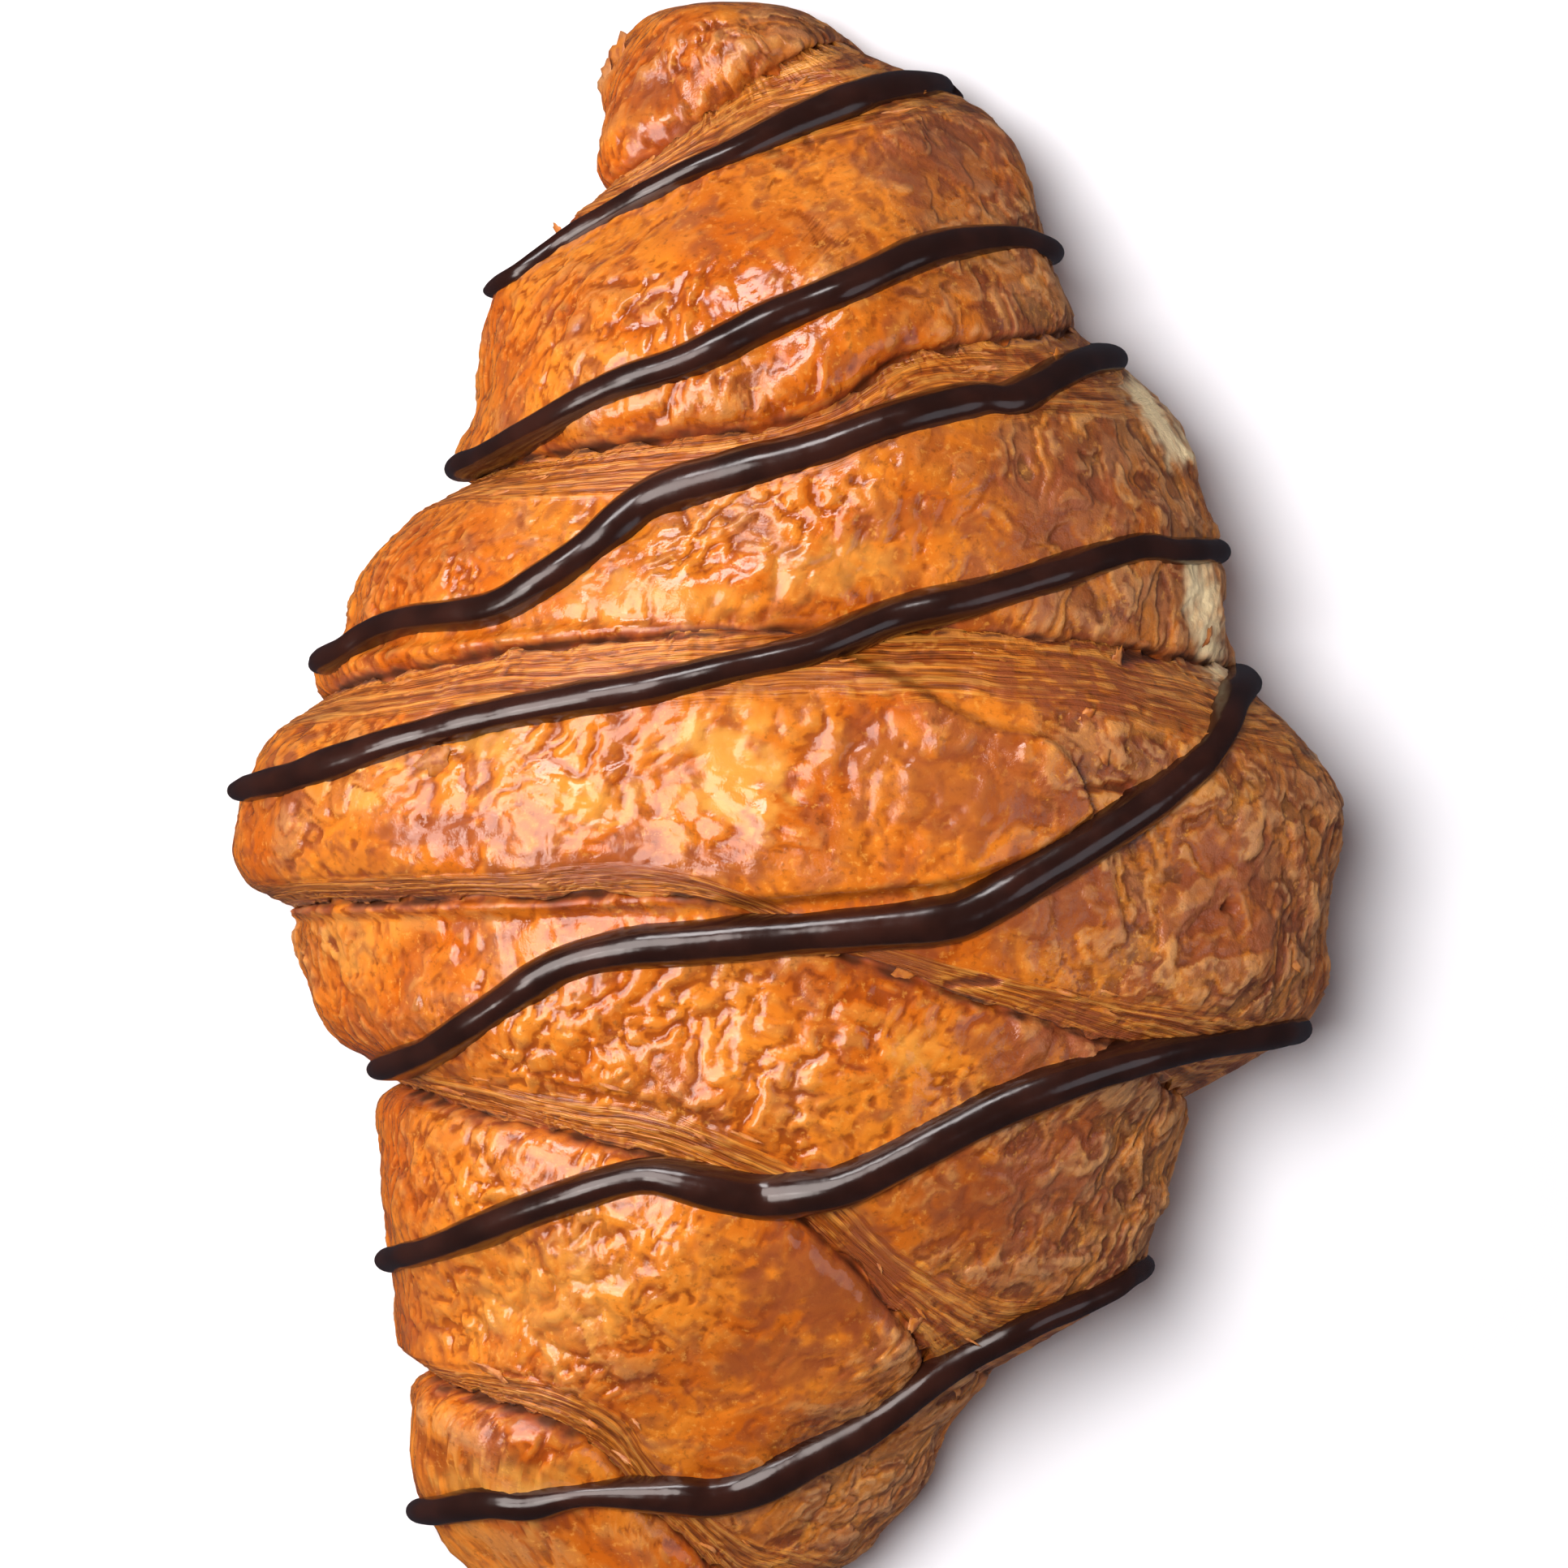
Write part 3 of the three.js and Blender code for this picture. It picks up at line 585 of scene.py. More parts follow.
def mesh_object(name, points, faces, material, attributes=(), uv=None):
    """A smooth-shaded object from points in mm, faces, per-point attributes and per-corner uv."""
    mesh = bpy.data.meshes.new(name)
    mesh.from_pydata((points * MM).tolist(), [], faces)
    mesh.shade_smooth()
    for key, values in attributes:
        kind, part = ("FLOAT_VECTOR", "vector") if values.ndim == 2 else ("FLOAT", "value")
        attribute = mesh.attributes.new(key, kind, "POINT")
        attribute.data.foreach_set(part, values.astype(np.float32).ravel())
    if uv is not None:
        layer = mesh.uv_layers.new(name="OFBake")
        layer.uv.foreach_set("vector", uv.astype(np.float32).ravel())
    mesh.materials.append(material)
    return add_object(name, mesh)


def rings_to_faces(rings, columns):
    """Faces over rings of points with a pole at each end, and the (ring, column) of each face's corners."""
    corners = [[(-1, c + 0.5), (0, c + 1), (0, c)] for c in range(columns)]
    for r in range(rings - 1):
        corners += [[(r, c), (r, c + 1), (r + 1, c + 1), (r + 1, c)] for c in range(columns)]
    corners += [[(rings, c + 0.5), (rings - 1, c), (rings - 1, c + 1)] for c in range(columns)]

    def index(r, c):
        if r < 0 or r == rings:
            return 0 if r < 0 else 1 + rings * columns
        return 1 + r * columns + c % columns

    faces = [tuple(index(*corner) for corner in face) for face in corners]
    return faces, np.array([corner for face in corners for corner in face], float)


def linear(colour):
    """A colour seen as 0 to 255 values, as Blender's linear one."""
    seen = np.array(colour) / 255
    return (*np.where(seen <= 0.04045, seen / 12.92, ((seen + 0.055) / 1.055) ** 2.4).tolist(), 1)


class Graph:
    """Short names for the nodes of one material."""

    def __init__(self, name):
        self.material = bpy.data.materials.new(name)
        self.material.use_nodes = True
        self.tree = self.material.node_tree
        self.shader = self.tree.nodes["Principled BSDF"]
        self.place = self.node("ShaderNodeTexCoord").outputs["Object"]

    def node(self, kind, **settings):
        made = self.tree.nodes.new(kind)
        for key, value in settings.items():
            setattr(made, key, value)
        return made

    def feed(self, socket, value):
        if isinstance(value, bpy.types.NodeSocket):
            self.tree.links.new(value, socket)
        else:
            socket.default_value = value

    def give(self, name, value):
        """Feeds the input of that name of the material's shader."""
        self.feed(self.shader.inputs[name], value)

    def attribute(self, name, output="Fac"):
        return self.node("ShaderNodeAttribute", attribute_name=name).outputs[output]

    def noise(self, size, detail=3, roughness=0.5, vector=None):
        """Noise with features of about size, in mm at the object or in units of a given vector."""
        made = self.node("ShaderNodeTexNoise")
        self.feed(made.inputs["Vector"], self.place if vector is None else vector)
        made.inputs["Scale"].default_value = 1 / (size * MM) if vector is None else 1 / size
        made.inputs["Detail"].default_value = detail
        made.inputs["Roughness"].default_value = roughness
        return made.outputs["Fac"]

    def math(self, operation, a, b):
        made = self.node("ShaderNodeMath", operation=operation)
        self.feed(made.inputs[0], a)
        self.feed(made.inputs[1], b)
        return made.outputs[0]

    def times(self, a, b):
        return self.math("MULTIPLY", a, b)

    def spread(self, value, low, high, to_low=0.0, to_high=1.0):
        """Maps low to high onto another range, smoothly and held at its ends."""
        made = self.node("ShaderNodeMapRange", interpolation_type="SMOOTHSTEP")
        for socket, number in zip(made.inputs[:5], (value, low, high, to_low, to_high)):
            self.feed(socket, number)
        return made.outputs[0]

    def blend(self, amount, a, b):
        """Mixes two colours, each either named as red, green and blue or the result of another mix."""
        made = self.node("ShaderNodeMix", data_type="RGBA")
        self.feed(made.inputs[0], amount)
        for socket, colour in ((made.inputs[6], a), (made.inputs[7], b)):
            self.feed(socket, linear(colour) if isinstance(colour, tuple) else colour)
        return made.outputs[2]

    def bump(self, height, distance, strength=1.0, under=None):
        made = self.node("ShaderNodeBump")
        self.feed(made.inputs["Strength"], strength)
        made.inputs["Distance"].default_value = distance * MM
        self.feed(made.inputs["Height"], height)
        if under is not None:
            self.feed(made.inputs["Normal"], under)
        return made.outputs["Normal"]


def baked_colour(g, mottle, ridge_light, valley_shade):
    """The glazed crust: golden and orange, browned in patches, painted light on ridges and painted shade in
    valleys.
    """
    colour = g.blend(g.spread(g.attribute("patches"), 0.36, 0.66), ORANGE, GOLD)
    colour = g.blend(g.spread(mottle, 0.52, 0.72, 0, 0.65), colour, BROWN)
    colour = g.blend(g.spread(g.attribute("blotches"), 0.5, 0.72, 0, 0.6), colour, BROWN)
    colour = g.blend(g.times(ridge_light, 0.22), colour, STRAW)
    return g.blend(g.times(valley_shade, 0.72), colour, RUST)


def dry_shaded_colour(g, mottle, ridge_light, valley_shade):
    """The dry crust, as on the right side, darker there partly as painted shade: ochre and dull brown, with tan
    patches.
    """
    colour = g.blend(g.spread(g.attribute("parching"), 0.42, 0.58), DRY_BROWN, OCHRE)
    colour = g.blend(g.spread(mottle, 0.48, 0.66, 0, 0.8), colour, DRY_TAN)
    colour = g.blend(g.times(ridge_light, 0.5), colour, DRY_LIGHT)
    return g.blend(g.times(valley_shade, 0.65), colour, DARK_BROWN)


def layer_colour(g, streaks, fine_streaks, ridge_light, valley_shade):
    """The baked layers in a cut edge, streaked along the layers, painted light on ridges and shade in valleys.
    """
    colour = g.blend(g.spread(streaks, 0.42, 0.62), LAYER_DARK, LAYER_LIGHT)
    colour = g.blend(g.spread(fine_streaks, 0.5, 0.64, 0, 0.85), colour, RUST)
    colour = g.blend(g.times(ridge_light, 0.45), colour, STRAW)
    return g.blend(g.times(valley_shade, 0.6), colour, DARK_BROWN)


def crust_material():
    g = Graph("crust")
    names = "cut", "crease_shade", "relief_shading", "tone", "dry", "pale", "mottle"
    cut, crease_shade, relief_shading, tone, dry, pale, mottle = (g.attribute(name) for name in names)
    lamina, specks = g.attribute("lamina", "Vector"), g.noise(0.8, 3, 0.65)
    streaks, fine_streaks = g.noise(1, 3, 0.65, lamina), g.noise(0.4, 2, 0.65, lamina)
    # Painted shade in the hollows of the relief, and painted light on its ridges
    valley_shade, ridge_light = g.spread(relief_shading, 0.05, 0.9), g.spread(relief_shading, -0.1, -0.9)

    colour = baked_colour(g, mottle, ridge_light, valley_shade)
    # The dry crust, its darker colour on the right side partly painted shade
    colour = g.blend(g.times(dry, 0.8), colour, dry_shaded_colour(g, mottle, ridge_light, valley_shade))
    colour = g.blend(g.spread(specks, 0.54, 0.74, 0, 0.45), colour, DARK_BROWN)
    colour = g.blend(g.spread(specks, 0.44, 0.28, 0, 0.45), colour, STRAW)
    edge = g.math("ADD", cut, g.spread(mottle, 0.3, 0.7, -0.3, 0.3))
    layers = layer_colour(g, streaks, fine_streaks, ridge_light, valley_shade)
    colour = g.blend(g.spread(edge, 0.25, 0.6, 0, 0.9), colour, layers)
    # Lighter and darker patches: partly own browning, partly painted light and painted shade
    colour = g.blend(g.spread(tone, 0.05, 1, 0, 0.75), colour, STRAW)
    colour = g.blend(g.spread(tone, -0.05, -1, 0, 0.8), colour, BROWN)
    colour = g.blend(pale, colour, CREAM)
    # Painted shade in the crease gaps and the holes: a rust wash, then dark brown
    colour = g.blend(g.spread(crease_shade, 0.02, 0.6, 0, 0.45), colour, RUST)
    colour = g.blend(g.spread(crease_shade, 0.4, 0.98, 0, 0.9), colour, DARK_BROWN)
    g.give("Base Color", colour)

    matte = g.math("MAXIMUM", g.math("MAXIMUM", cut, pale), dry)
    rough = g.math("ADD", g.spread(mottle, 0.3, 0.7, 0.1, 0.2), g.times(matte, 0.22))
    rough = g.math("ADD", rough, g.spread(crease_shade, 0.1, 0.6, 0, 0.5))
    g.give("Roughness", rough)
    g.give("Specular IOR Level", CRUST_GLOSS)

    normal = g.bump(g.noise(0.8, 3, 0.62), 0.16, g.spread(dry, 0, 0.8, 0.3, 1))
    normal = g.bump(g.times(fine_streaks, cut), 0.3, 0.9, normal)
    g.give("Normal", normal)
    return g.material


def chocolate_material():
    g = Graph("chocolate")
    colour = g.blend(g.spread(g.noise(5), 0.35, 0.7), CHOCOLATE_DARK, CHOCOLATE_BROWN)
    g.give("Base Color", colour)
    g.give("Roughness", g.spread(g.noise(2.2), 0.3, 0.7, 0.16, 0.24))
    g.give("Specular IOR Level", CHOCOLATE_GLOSS)
    g.give("Normal", g.bump(g.noise(2.6, 2), 0.16, 0.5))
    return g.material


def flake_material():
    g = Graph("flakes")
    colour = g.blend(g.spread(g.noise(2.5, 4, 0.6), 0.4, 0.65), OCHRE, DRY_TAN)
    colour = g.blend(g.spread(g.noise(0.7), 0.45, 0.65, 0, 0.7), colour, BROWN)
    g.give("Base Color", colour)
    g.give("Roughness", g.spread(g.noise(1.5, 2), 0.3, 0.7, 0.35, 0.55))
    g.give("Normal", g.bump(g.noise(0.5), 0.06, 0.6))
    return g.material


def crust_columns():
    """Angles of the mesh's columns, closer together over the top than underneath."""
    low, high = -UPPER_REACH, 180 + UPPER_REACH
    over = np.linspace(low, high, UPPER_COLUMNS, endpoint=False)
    under = np.linspace(high, 360 + low, UNDER_COLUMNS, endpoint=False)
    return np.concatenate([over, under])


def crust_rows(angle, ragged):
    """Rows of the mesh from the upper end to the lower: y over the columns, and the bank of each."""
    creases = creases_at(angle)
    shift = -BASE_STEP + (LIP_OVERHANG + BASE_STEP) * smoothstep(circle(angle)[1], *LIP_SINES)
    slope_steps = np.linspace(0, 1, SLOPE_ROWS)
    dive_steps = np.linspace(0, 1, DIVE_ROWS) ** DIVE_CROWDING
    end_steps = 1 - (1 - np.linspace(0, 1, END_ROWS + 2)[1:-1]) ** END_CROWDING
    rows = []

    def plain_rows(start, stop, shares):
        rows.extend((start + (stop - start) * s, None) for s in shares)

    def bank_rows(i, side, order):
        y, _, slope, dive = creases[i]
        to_centre = CREASES[i]["to_centre"]
        for s in (slope_steps if side > 0 else dive_steps)[::order]:
            if side > 0:
                wander = ragged[i] * (1 - s) ** 3
                rows.append((y + to_centre * (s * slope - wander), (i, 1)))
            else:
                tuck = shift if s == 0 else 0
                rows.append((y + to_centre * (tuck - s * dive), (i, -1)))

    plain_rows(creases[0][0] + creases[0][3], HALF_LENGTH, end_steps[::-1])
    for i, (y, _, slope, dive) in enumerate(creases):
        above = 1 if CREASES[i]["to_centre"] > 0 else -1
        bank_rows(i, above, -1)
        bank_rows(i, -above, 1)
        if i + 1 == len(creases):
            break
        start = y - (dive if above > 0 else slope)
        next_y, _, next_slope, next_dive = creases[i + 1]
        stop = next_y + (next_slope if CREASES[i + 1]["to_centre"] > 0 else next_dive)
        plain_rows(start, stop, np.linspace(0, 1, CREST_ROWS[i] + 2)[1:-1])
    plain_rows(creases[-1][0] - creases[-1][3], -HALF_LENGTH, end_steps)
    return rows


def crease_zones(angle, y, banks, around):
    """Over the grid: amounts of cut edge, of painted crease shade and of crust beside it, and places in the
    layers.
    """
    cut, crease_shade, beside = np.zeros((3, *y.shape))
    lamina = np.zeros((*y.shape, 3))
    run = np.broadcast_to(around[:, :2] / LAYER_RUN, (*y.shape, 2))
    for i, (crease_y, _, slope, _) in enumerate(creases_at(angle)):
        t = (y - crease_y) * CREASES[i]["to_centre"]
        own = banks[:, 0] == i
        t[own] = np.abs(t[own]) * banks[own, 1][:, None]
        share = t / slope
        inside = (t >= 0) & (share < CUT_REACH)
        shown = share / around_roll(angle, *CUT_SHOWN[i])
        cut[inside] = 1 - smoothstep(shown[inside], CUT_FADE, CUT_REACH)
        lamina[inside] = np.concatenate([(share * LAYERS + LAYERS_APART * i)[..., None], run], -1)[inside]
        # Painted shade at each crease, wider in front of the cut edge than on it
        crease_shade = np.maximum(crease_shade, CREASE_SHADE_AMOUNTS[i] * np.exp(-((t / np.where(t > 0, *CREASE_SHADE_WIDTHS)) ** 2)))
        beside = np.maximum(beside, np.exp(-((t / BESIDE_WIDTH) ** 2)) * (t < 0))
    return cut, crease_shade, beside, lamina


def patch_amount(point, patches, frayed):
    """How much a point seen from above is in any of the patches, whose outlines are frayed by a field."""
    total = np.zeros(point.shape[:-1])
    for x, y, half_x, half_y, amount in patches:
        reach = np.hypot((point[..., 0] - x) / half_x, (point[..., 1] - y) / half_y) + frayed
        total = np.maximum(total, amount * (1 - smoothstep(reach, *PATCH_RIM)))
    return total


def strip_distance(point, strip):
    """Distance, seen from above, to a line through the strip's points."""
    nearest = np.full(point.shape[:-1], np.inf)
    for start, end in zip(np.array(strip[:-1]), np.array(strip[1:])):
        way = end - start
        share = np.clip((point[..., :2] - start) @ way / (way @ way), 0, 1)
        gone = point[..., :2] - start - share[..., None] * way
        nearest = np.minimum(nearest, np.linalg.norm(gone, axis=-1))
    return nearest


def drawn_out(point, way, stretch):
    """Places squeezed along a way in degrees, so that a field read there comes out drawn out along it."""
    along = np.array([*circle(way), 0])
    return point - (point @ along)[..., None] * along * (1 - 1 / stretch)


def crumple(point, part):
    """Rounded folds with narrow valleys, the finer ones strongest on the crests of the coarser."""
    total, weight = 0, 1
    way, seed = FOLD_PARTS[part]
    least, plain, gain = FINER_SHARES
    for number, (height, size, stretch) in enumerate(FOLDS):
        wave = Noise(seed + number)(drawn_out(point, way, stretch) / size)
        fold = np.sqrt(wave**2 + FOLD_VALLEY)
        total = total + height * weight * fold
        weight = np.clip(weight * (plain + gain * fold), least, 1)
    return total - FOLD_LEVEL


def blisters(point):
    """Blisters of two sizes with narrow creases between them, drawn out slantwise."""
    squeezed = drawn_out(point, BLISTER_WAY, BLISTER_STRETCH)
    seed = SEEDS["blisters"]
    return sum(height * Cells(seed + n)(squeezed / size) for n, (height, size) in enumerate(BLISTERS))


def mottling(point, size, octaves, seed):
    """Noise whose patches are of about size mm and finer, with values that lie about 0.5."""
    total = sum(MOTTLE_FALLOFF**k * Noise(seed + k)(point / size * 2**k) for k in range(octaves))
    return 0.5 + MOTTLE_SPREAD * total / total.std()


def steps(value, count):
    """Turns a smooth field into flat steps with short risers, as of sheets on each other."""
    whole = np.floor(value * count)
    return (whole + smoothstep(value * count - whole, 0, SHEET_RISER)) / count


# The hollows found here are painted with shade, and the ridges with light, in the crust's colour
def hollows(extra):
    """How far each point of the grid lies below its near and its wider surroundings, from -1 to 1."""
    even, total = extra, 0
    for times, depth in HOLLOW_REACHES:
        for _ in range(times):
            ends = np.concatenate([even[:1], even, even[-1:]])
            even = (even + np.roll(even, 1, 1) + np.roll(even, -1, 1) + ends[:-2] + ends[2:]) / 5
        total = total + (even - extra) / depth
    return np.clip(total, -1, 1)


def ragged_edges(around, over):
    """How far the layered edge at each crease strays, in mm: torn over the top and even underneath."""
    edges = []
    for i in range(len(CREASES)):
        noise, place = Noise(SEEDS["tears"] + i), around + TEARS_APART * i
        edges.append(over * sum(height * noise(place / size) for height, size in RAGGED))
    return edges


def warped(point):
    """Places bent to and fro, so that what is read there looks crumpled."""
    bent = point
    for number, (reach, size) in enumerate(WARP):
        seed = SEEDS["warp"] + 3 * number
        bent = bent + reach * np.stack([Noise(seed + i)(point / size) for i in range(3)], -1)
    return bent


def dryness_and_shade(point, up, right, frayed):
    """How dry the crust is, its colour darker partly as painted shade: on the right side, underneath and in
    patches.
    """
    dry = right + smoothstep(up, *UNDER_SINES) + field("dry", point)
    return np.clip(dry + patch_amount(point, DRY_PATCHES, frayed), 0, 1)


def crinkling(point, beside, over, frayed):
    """How crinkled the crust is: a little everywhere, more beside the creases and in patches."""
    crinkle = CRINKLE_LEAST + field("crinkle", point) + CRINKLE_BESIDE * beside * over
    return np.clip(crinkle + patch_amount(point, CRINKLED_PATCHES, frayed), 0, 1)


def crumpled(point, bent, right, over, dry, crinkle):
    """Height of the folds, the blisters and the cells of the dry crust, calmer at the upper right."""
    y = point[..., 1]
    lower = smoothstep(y, *LOWER_PART)
    rugged = CALM_RIGHT + (1 - CALM_RIGHT) * smoothstep(y, *RUGGED_PART)
    folds = crumple(bent, "upper") * (1 - lower) + crumple(bent, "lower") * lower
    folds = folds + right * (crumple(bent, "right") - folds)
    least, crinkled, on_right = FOLD_SHARES
    folds = folds * (least + crinkled * crinkle + on_right * right) * (1 + right * (rugged - 1))
    least, softness = SPOTS
    spots = least + (1 - least) * smoothstep(field("spots", point), -softness, softness)
    raised = crinkle * spots * over * (blisters(bent) - BLISTER_LEVEL)
    height, size = DRY_CELLS
    return folds + raised + height * dry * rugged * Cells(SEEDS["dry_cells"])(bent / size)


def layered(lamina):
    """Height of the thin layers in a cut edge, at places in the layers."""
    fine = np.abs(field("fine_layers", lamina * FINE_LAYERS + FINE_LAYERS_APART))
    return LAYER_HEIGHT * (np.abs(field("layers", lamina)) + fine)


def pale_strips(point, frayed):
    """How much a point is on the pale, unbaked dough that shows at the right side."""
    pale = np.zeros(point.shape[:-1])
    for strip in PALE_STRIPS:
        near = 1 - smoothstep(strip_distance(point, strip) + PALE_FRAY * frayed, 0, PALE_WIDTH)
        pale = np.maximum(pale, near * smoothstep(point[..., 2], *PALE_HEIGHTS))
    return pale


def crust_mesh(point, grids):
    """The crust from its grid of points and the grids of its attributes, closed by a pole at each end."""

    def whole(values):
        """Flattens a grid and adds its two poles."""
        flat = values.reshape(-1, *values.shape[2:])
        return np.concatenate([values[0].mean(0)[None], flat, values[-1].mean(0)[None]])

    points = whole(point)
    for pole, end in ((0, HALF_LENGTH), (-1, -HALF_LENGTH)):
        middle, _, waist, _, _ = section(np.array(float(end)))
        points[pole] = (middle, end, waist)
    rings, columns = point.shape[:2]
    faces, uv = rings_to_faces(rings, columns)
    uv = np.stack([uv[:, 1] / columns, (uv[:, 0] + 1) / (rings + 1)], -1)
    attributes = [(key, whole(values)) for key, values in grids.items()]
    return mesh_object("crust", points, faces, crust_material(), attributes, uv)


def crust_object():
    angle = crust_columns()
    across, up = circle(angle)
    around = TEAR_RADIUS * np.stack([across, up, 0 * up], -1)
    over = smoothstep(up, *OVER_SINES)
    rows = crust_rows(angle, ragged_edges(around, over))
    y = np.array([row for row, _ in rows])
    banks = np.array([(-1, 0) if bank is None else bank for _, bank in rows])
    point = np.array([crust_point(angle, row, bank)[0] for row, bank in rows])
    _, out, fade = plain_point(angle, y)

    cut, crease_shade, beside, lamina = crease_zones(angle, y, banks, around)
    cut = cut * smoothstep(up, *CUT_SINES)
    lamina[..., 0] += field("waver", point) + field("fine_waver", point)
    # The painted crease shade varies in strength along the creases
    crease_shade = crease_shade * np.clip(CREASE_SHADE_LEVEL + field("crease_shade", point), *CREASE_SHADE_RANGE)
    bent = warped(point)
    frayed = field("fray", point) + field("fine_fray", point)
    right = smoothstep(across, *RIGHT_COSINES) * np.ones(y.shape)
    # Dry crust on the right side, underneath and in patches, its darkness on the right partly painted shade
    dry = dryness_and_shade(point, up, right, frayed)
    crinkle = crinkling(point, beside, over, frayed)
    loose = np.clip(dry + LOOSE_LEAST + patch_amount(point, LOOSE_PATCHES, frayed), 0, 1)
    hole = patch_amount(point, HOLES, frayed) * over

    sheet = field("sheet", bent)
    extra = field("swell", point) + crumpled(point, bent, right, over, dry, crinkle)
    extra = extra + loose * SHEET_HEIGHT * steps(sheet, SHEET_STEPS)
    extra = extra * (1 - CUT_CALM * cut) + cut * layered(lamina)
    extra = (extra - HOLE_DEPTH * hole) * smoothstep(point[..., 2], 0, FLAT_BELOW) * fade

    # Tone of the light and dark patches, partly painted light and shade, and of the sheets
    tone = patch_amount(point, LIGHT_PATCHES, frayed) - patch_amount(point, DARK_PATCHES, frayed)
    tone = tone + SHEET_TONE * loose * (np.floor(sheet * SHEET_STEPS) % 2 - 0.5)
    # Painted shade over the top in the crease gaps, and in the holes
    grids = {"cut": cut, "crease_shade": np.maximum(crease_shade * over, hole), "relief_shading": hollows(extra), "tone": tone * over}
    grids.update({"dry": dry, "pale": pale_strips(point, frayed), "lamina": lamina})
    for number, (key, (size, octaves)) in enumerate(MOTTLING.items()):
        grids[key] = mottling(bent, size, octaves, SEEDS["mottling"] + 5 * number)
    point = point + out * extra[..., None]
    point[..., 2] = np.maximum(0, point[..., 2])
    return crust_mesh(point, grids)


def angle_of(x, y):
    """Angle at which a point seen from above lies on the roll."""
    middle, half_width, _, _, _ = section(y)
    across = np.clip((x - middle) / half_width, -1, 1)
    return np.degrees(np.arccos(power(across, UPPER_POWER / 2)))


def even_curve(values):
    return smooth_curve(list(zip(np.linspace(0, 1, len(values)), values)))


def evened(values, times):
    """Values along a line, smoothed a number of times with their neighbours."""
    for _ in range(times):
        values = np.concatenate([values[:1], (values[:-2] + 2 * values[1:-1] + values[2:]) / 4, values[-1:]])
    return values


def bridged(height, reach):
    """Heights along a line as something thick lies on them: over narrow dips, and never far below them."""
    padded = np.pad(height, reach, mode="edge")
    return evened(np.max([padded[i : i + len(height)] for i in range(2 * reach + 1)], axis=0), reach * reach)


def line_on_crust(line):
    """Middle of a chocolate line on the crust, the directions out of the crust, and its half widths."""
    x, y, width = np.array(line, float).T
    s = np.linspace(0, 1, LINE_STATIONS)
    x, y = even_curve(x)(s), even_curve(y)(s)
    half = even_curve(width)(s) / 2
    angle = angle_of(x, y)

    def lying(angle):
        plain, out, fade = plain_point(angle, y)
        return plain, out, bridged(relief(angle, y, plain[:, 0]), LINE_BRIDGE) * fade

    for _ in range(SETTLING_ROUNDS):
        _, out, height = lying(angle)
        angle = evened(angle_of(x - out[:, 0] * (height + 0.5 * half), y), SETTLING_EVENNESS)
    first, last = np.clip(1 - s / HANG_SHARE, 0, 1), np.clip(1 - (1 - s) / HANG_SHARE, 0, 1)
    angle = angle + LINE_HANG * (first**2 - last**2)
    plain, out, height = lying(angle)
    return plain + out * height[:, None], out, half


def chocolate_line(number, line, wobble):
    """Rings of points round one line of chocolate, with its two end points."""
    centre, out, half = line_on_crust(line)
    along = unit(np.gradient(centre, axis=0))
    across = unit(np.cross(along, out))
    up = np.cross(across, along)
    drift = wobble(centre / WOBBLE_SIZE + LINES_APART * number)
    half = half * (WIDENING + WIDTH_WOBBLE * drift)
    gone = np.cumsum(np.concatenate([[0], np.linalg.norm(np.diff(centre, axis=0), axis=1)]))
    from_end = np.minimum(gone, gone[-1] - gone)
    half = half * (1 - END_TAPER * (1 - smoothstep(from_end, 0, END_TAPER_LENGTH)))
    round_off = np.sqrt(1 - (1 - np.clip(from_end / half, 0, 1)) ** 2)
    tall = LINE_HEIGHT * (1 + HEIGHT_WOBBLE * drift) * np.clip(half / USUAL_HALF_WIDTH, *HEIGHT_SHARES)
    turn = np.linspace(0, 2 * np.pi, LINE_SIDES, endpoint=False)
    side = -np.cos(turn)[None, :] * (half * round_off)[:, None] / np.sqrt(1 - LINE_SINK**2)
    rise = power(np.sin(turn), LINE_FLATNESS) - LINE_SINK
    lift = rise[None, :] * (tall * round_off)[:, None] / (1 - LINE_SINK)
    rings = centre[:, None] + across[:, None] * side[..., None] + up[:, None] * lift[..., None]
    return np.concatenate([centre[:1], rings[1:-1].reshape(-1, 3), centre[-1:]])


def chocolate_object():
    points, faces = [], []
    wobble = Noise(SEEDS["wobble"])
    line_faces, _ = rings_to_faces(LINE_STATIONS - 2, LINE_SIDES)
    for number, line in enumerate(LINES):
        start = sum(len(p) for p in points)
        points.append(chocolate_line(number, line, wobble))
        faces += [tuple(start + i for i in face) for face in line_faces]
    return mesh_object("chocolate_lines", np.concatenate(points), faces, chocolate_material())


def flake_places():
    """All flakes as rows of x, y, length, width, heading and lift: those of FLAKES, then scattered ones."""
    rng = np.random.default_rng(SEEDS["flake_places"])
    rows = [np.array(FLAKES, float)]
    kind = CREASE_FLAKES
    count = kind["count"]
    for i, crease in enumerate(CREASES):
        angle = rng.uniform(*kind["angle"], count)
        crease_y, _, slope, _ = creases_at(angle)[i]
        y = crease_y + crease["to_centre"] * slope * rng.uniform(*kind["share"], count)
        x = plain_point(angle, y)[0][:, 0]
        next_angle = angle - kind["step"]
        ahead = (plain_point(next_angle, creases_at(next_angle)[i][0])[0] - plain_point(angle, crease_y)[0]).T
        heading = np.degrees(np.arctan2(ahead[1], ahead[0])) + rng.normal(0, kind["stray"], count)
        length = rng.uniform(*kind["length"], count)
        width = length * rng.uniform(*kind["slimness"], count)
        rows.append(np.stack([x, y, length, width, heading, rng.uniform(*kind["lift"], count)], -1))
    kind = DRY_FLAKES
    count = kind["count"]
    angle, y = rng.uniform(*kind["angle"], count), rng.uniform(*kind["y"], count)
    x = plain_point(angle, y)[0][:, 0]
    length = rng.uniform(*kind["length"], count)
    width = length * rng.uniform(*kind["slimness"], count)
    heading = rng.uniform(0, 360, count)
    rows.append(np.stack([x, y, length, width, heading, rng.uniform(*kind["lift"], count)], -1))
    return np.concatenate(rows)


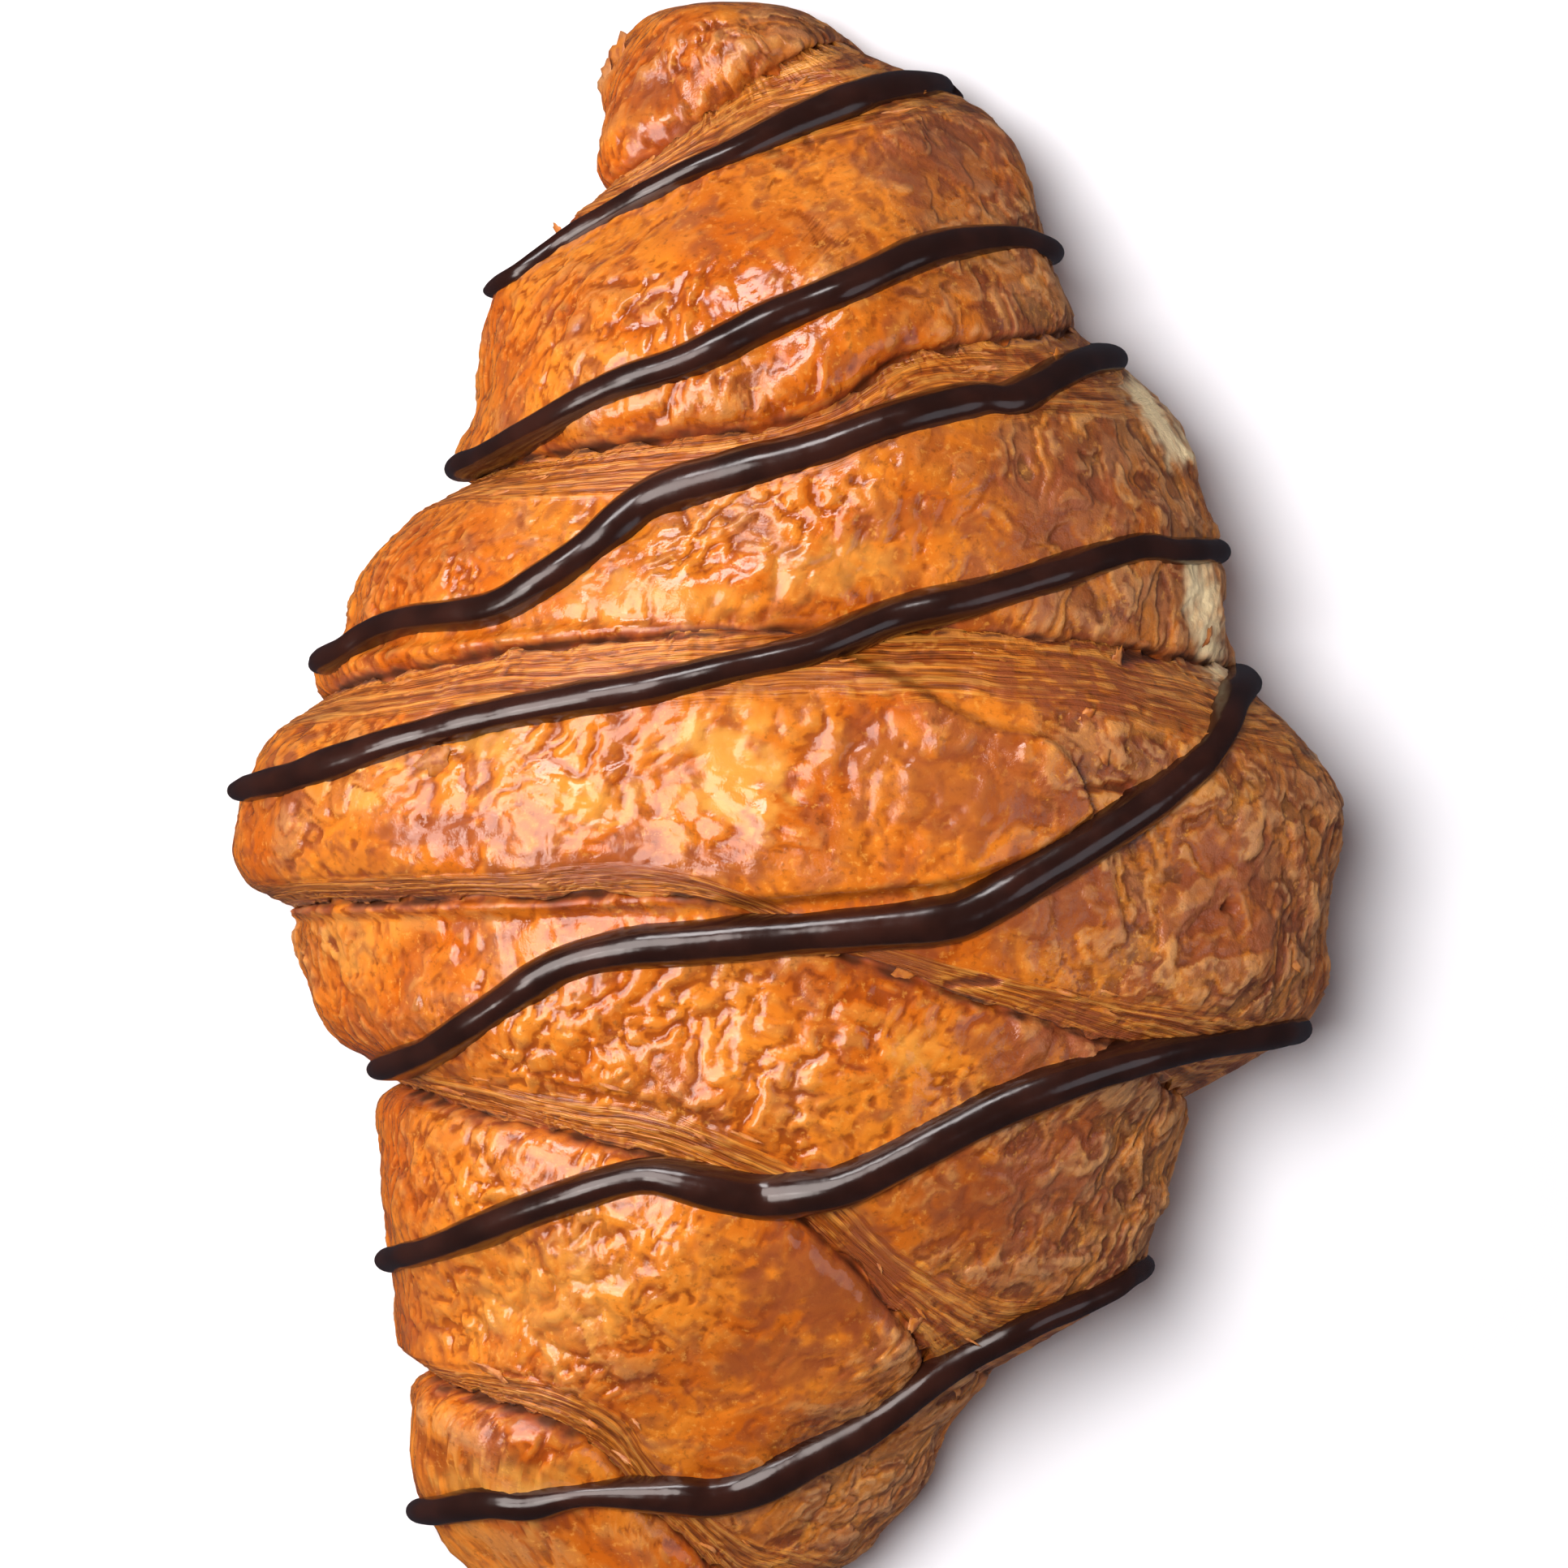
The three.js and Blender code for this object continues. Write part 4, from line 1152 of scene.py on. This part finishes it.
def flakes_object():
    """Thin, curled flakes with broken outlines, each a closed shell rooted in the crust at one end."""
    x, y, length, width, heading, lift = flake_places().T
    centre, out = crust_point(angle_of(x, y), y)
    out = unit(out + (0, 0, FLAKE_UPTURN))
    way = np.stack([*circle(heading), 0 * x], -1)
    across = unit(np.cross(out, way))
    along = np.cross(across, out)
    rng = np.random.default_rng(SEEDS["flake_shapes"])
    turn = np.linspace(0, 2 * np.pi, FLAKE_SECTORS, endpoint=False)
    amount, most = FLAKE_BREAKS
    broken = 1 + amount * rng.normal(size=(len(x), FLAKE_SECTORS)).clip(-most, most)
    curl = rng.uniform(*FLAKE_CURLS, len(x))
    shells = []
    for reach, height in FLAKE_RINGS:
        u = reach * broken * np.cos(turn) * length[:, None] / 2
        v = reach * broken * np.sin(turn) * width[:, None] / 2
        raised = np.tan(np.radians(lift))[:, None] * (u + length[:, None] * FLAKE_ROOT)
        bowed = curl[:, None] * (u**2 - FLAKE_CROSS_CURL * v**2)
        ring = centre[:, None] + along[:, None] * u[..., None] + across[:, None] * v[..., None]
        shells.append(ring + out[:, None] * (raised + bowed + height)[..., None])
    rings = np.stack(shells, 1)
    poles = rings[:, [0, -1]].mean(2)
    points = np.concatenate([poles[:, :1], rings.reshape(len(x), -1, 3), poles[:, 1:]], 1)
    flake_faces, _ = rings_to_faces(len(shells), FLAKE_SECTORS)
    faces = [tuple(k * points.shape[1] + i for i in face) for k in range(len(x)) for face in flake_faces]
    return mesh_object("flakes", points.reshape(-1, 3), faces, flake_material())


def make_camera():
    data = bpy.data.cameras.new("camera")
    data.sensor_width = SENSOR
    data.lens = SENSOR * VIEW_DISTANCE / VIEW_WIDTH
    data.clip_end = CLIP_END * MM
    camera = add_object("camera", data)
    camera.location = (VIEW_CENTRE[0] * MM, VIEW_CENTRE[1] * MM, (VIEW_CENTRE[2] + VIEW_DISTANCE) * MM)
    bpy.context.scene.camera = camera


def area_light(name, place, size, watts, colour):
    """A soft oval light at a place in metres, turned towards the croissant."""
    data = bpy.data.lights.new(name, "AREA")
    data.shape = "ELLIPSE"
    data.size, data.size_y = size
    data.energy = watts
    data.color = colour
    light = add_object(name, data)
    light.location = place
    light.rotation_euler = (-Vector(place)).to_track_quat("-Z", "Y").to_euler()
    return light


def make_light():
    """The key, top and fill lights shade the crust, and the gloss lights only show in its reflections."""
    world = bpy.data.worlds.new("studio")
    world.use_nodes = True
    background = world.node_tree.nodes["Background"]
    background.inputs["Color"].default_value, background.inputs["Strength"].default_value = SKY
    bpy.context.scene.world = world
    area_light("key", *KEY_LIGHT).visible_glossy = False
    area_light("fill", *FILL_LIGHT)
    area_light("top", *TOP_LIGHT).visible_glossy = False
    for number, gloss in enumerate(GLOSS_LIGHTS):
        area_light(f"gloss_{number}", *gloss).visible_diffuse = False


def make_floor():
    """A matt white surface that takes shadows and that the crust doesn't reflect."""
    mesh = bpy.data.meshes.new("floor")
    reach = FLOOR_REACH * MM
    corners = [(-reach, -reach, 0), (reach, -reach, 0), (reach, reach, 0), (-reach, reach, 0)]
    mesh.from_pydata(corners, [], [(0, 1, 2, 3)])
    g = Graph("floor")
    g.give("Base Color", g.blend(g.noise(40, 2), FLOOR_SHADE, FLOOR_WHITE))
    g.give("Roughness", 0.9)
    g.give("Specular IOR Level", 0.1)
    mesh.materials.append(g.material)
    floor = add_object("floor", mesh)
    floor.visible_glossy = False


make_camera()
make_light()
make_floor()
bpy.context.scene.view_settings.view_transform = "Standard"

crust = crust_object()
chocolate = chocolate_object()
flakes = flakes_object()
for piece, slot in ((crust, "crust"), (chocolate, "chocolate"), (flakes, "crust")):
    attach(piece, "root")
    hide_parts("croissant")
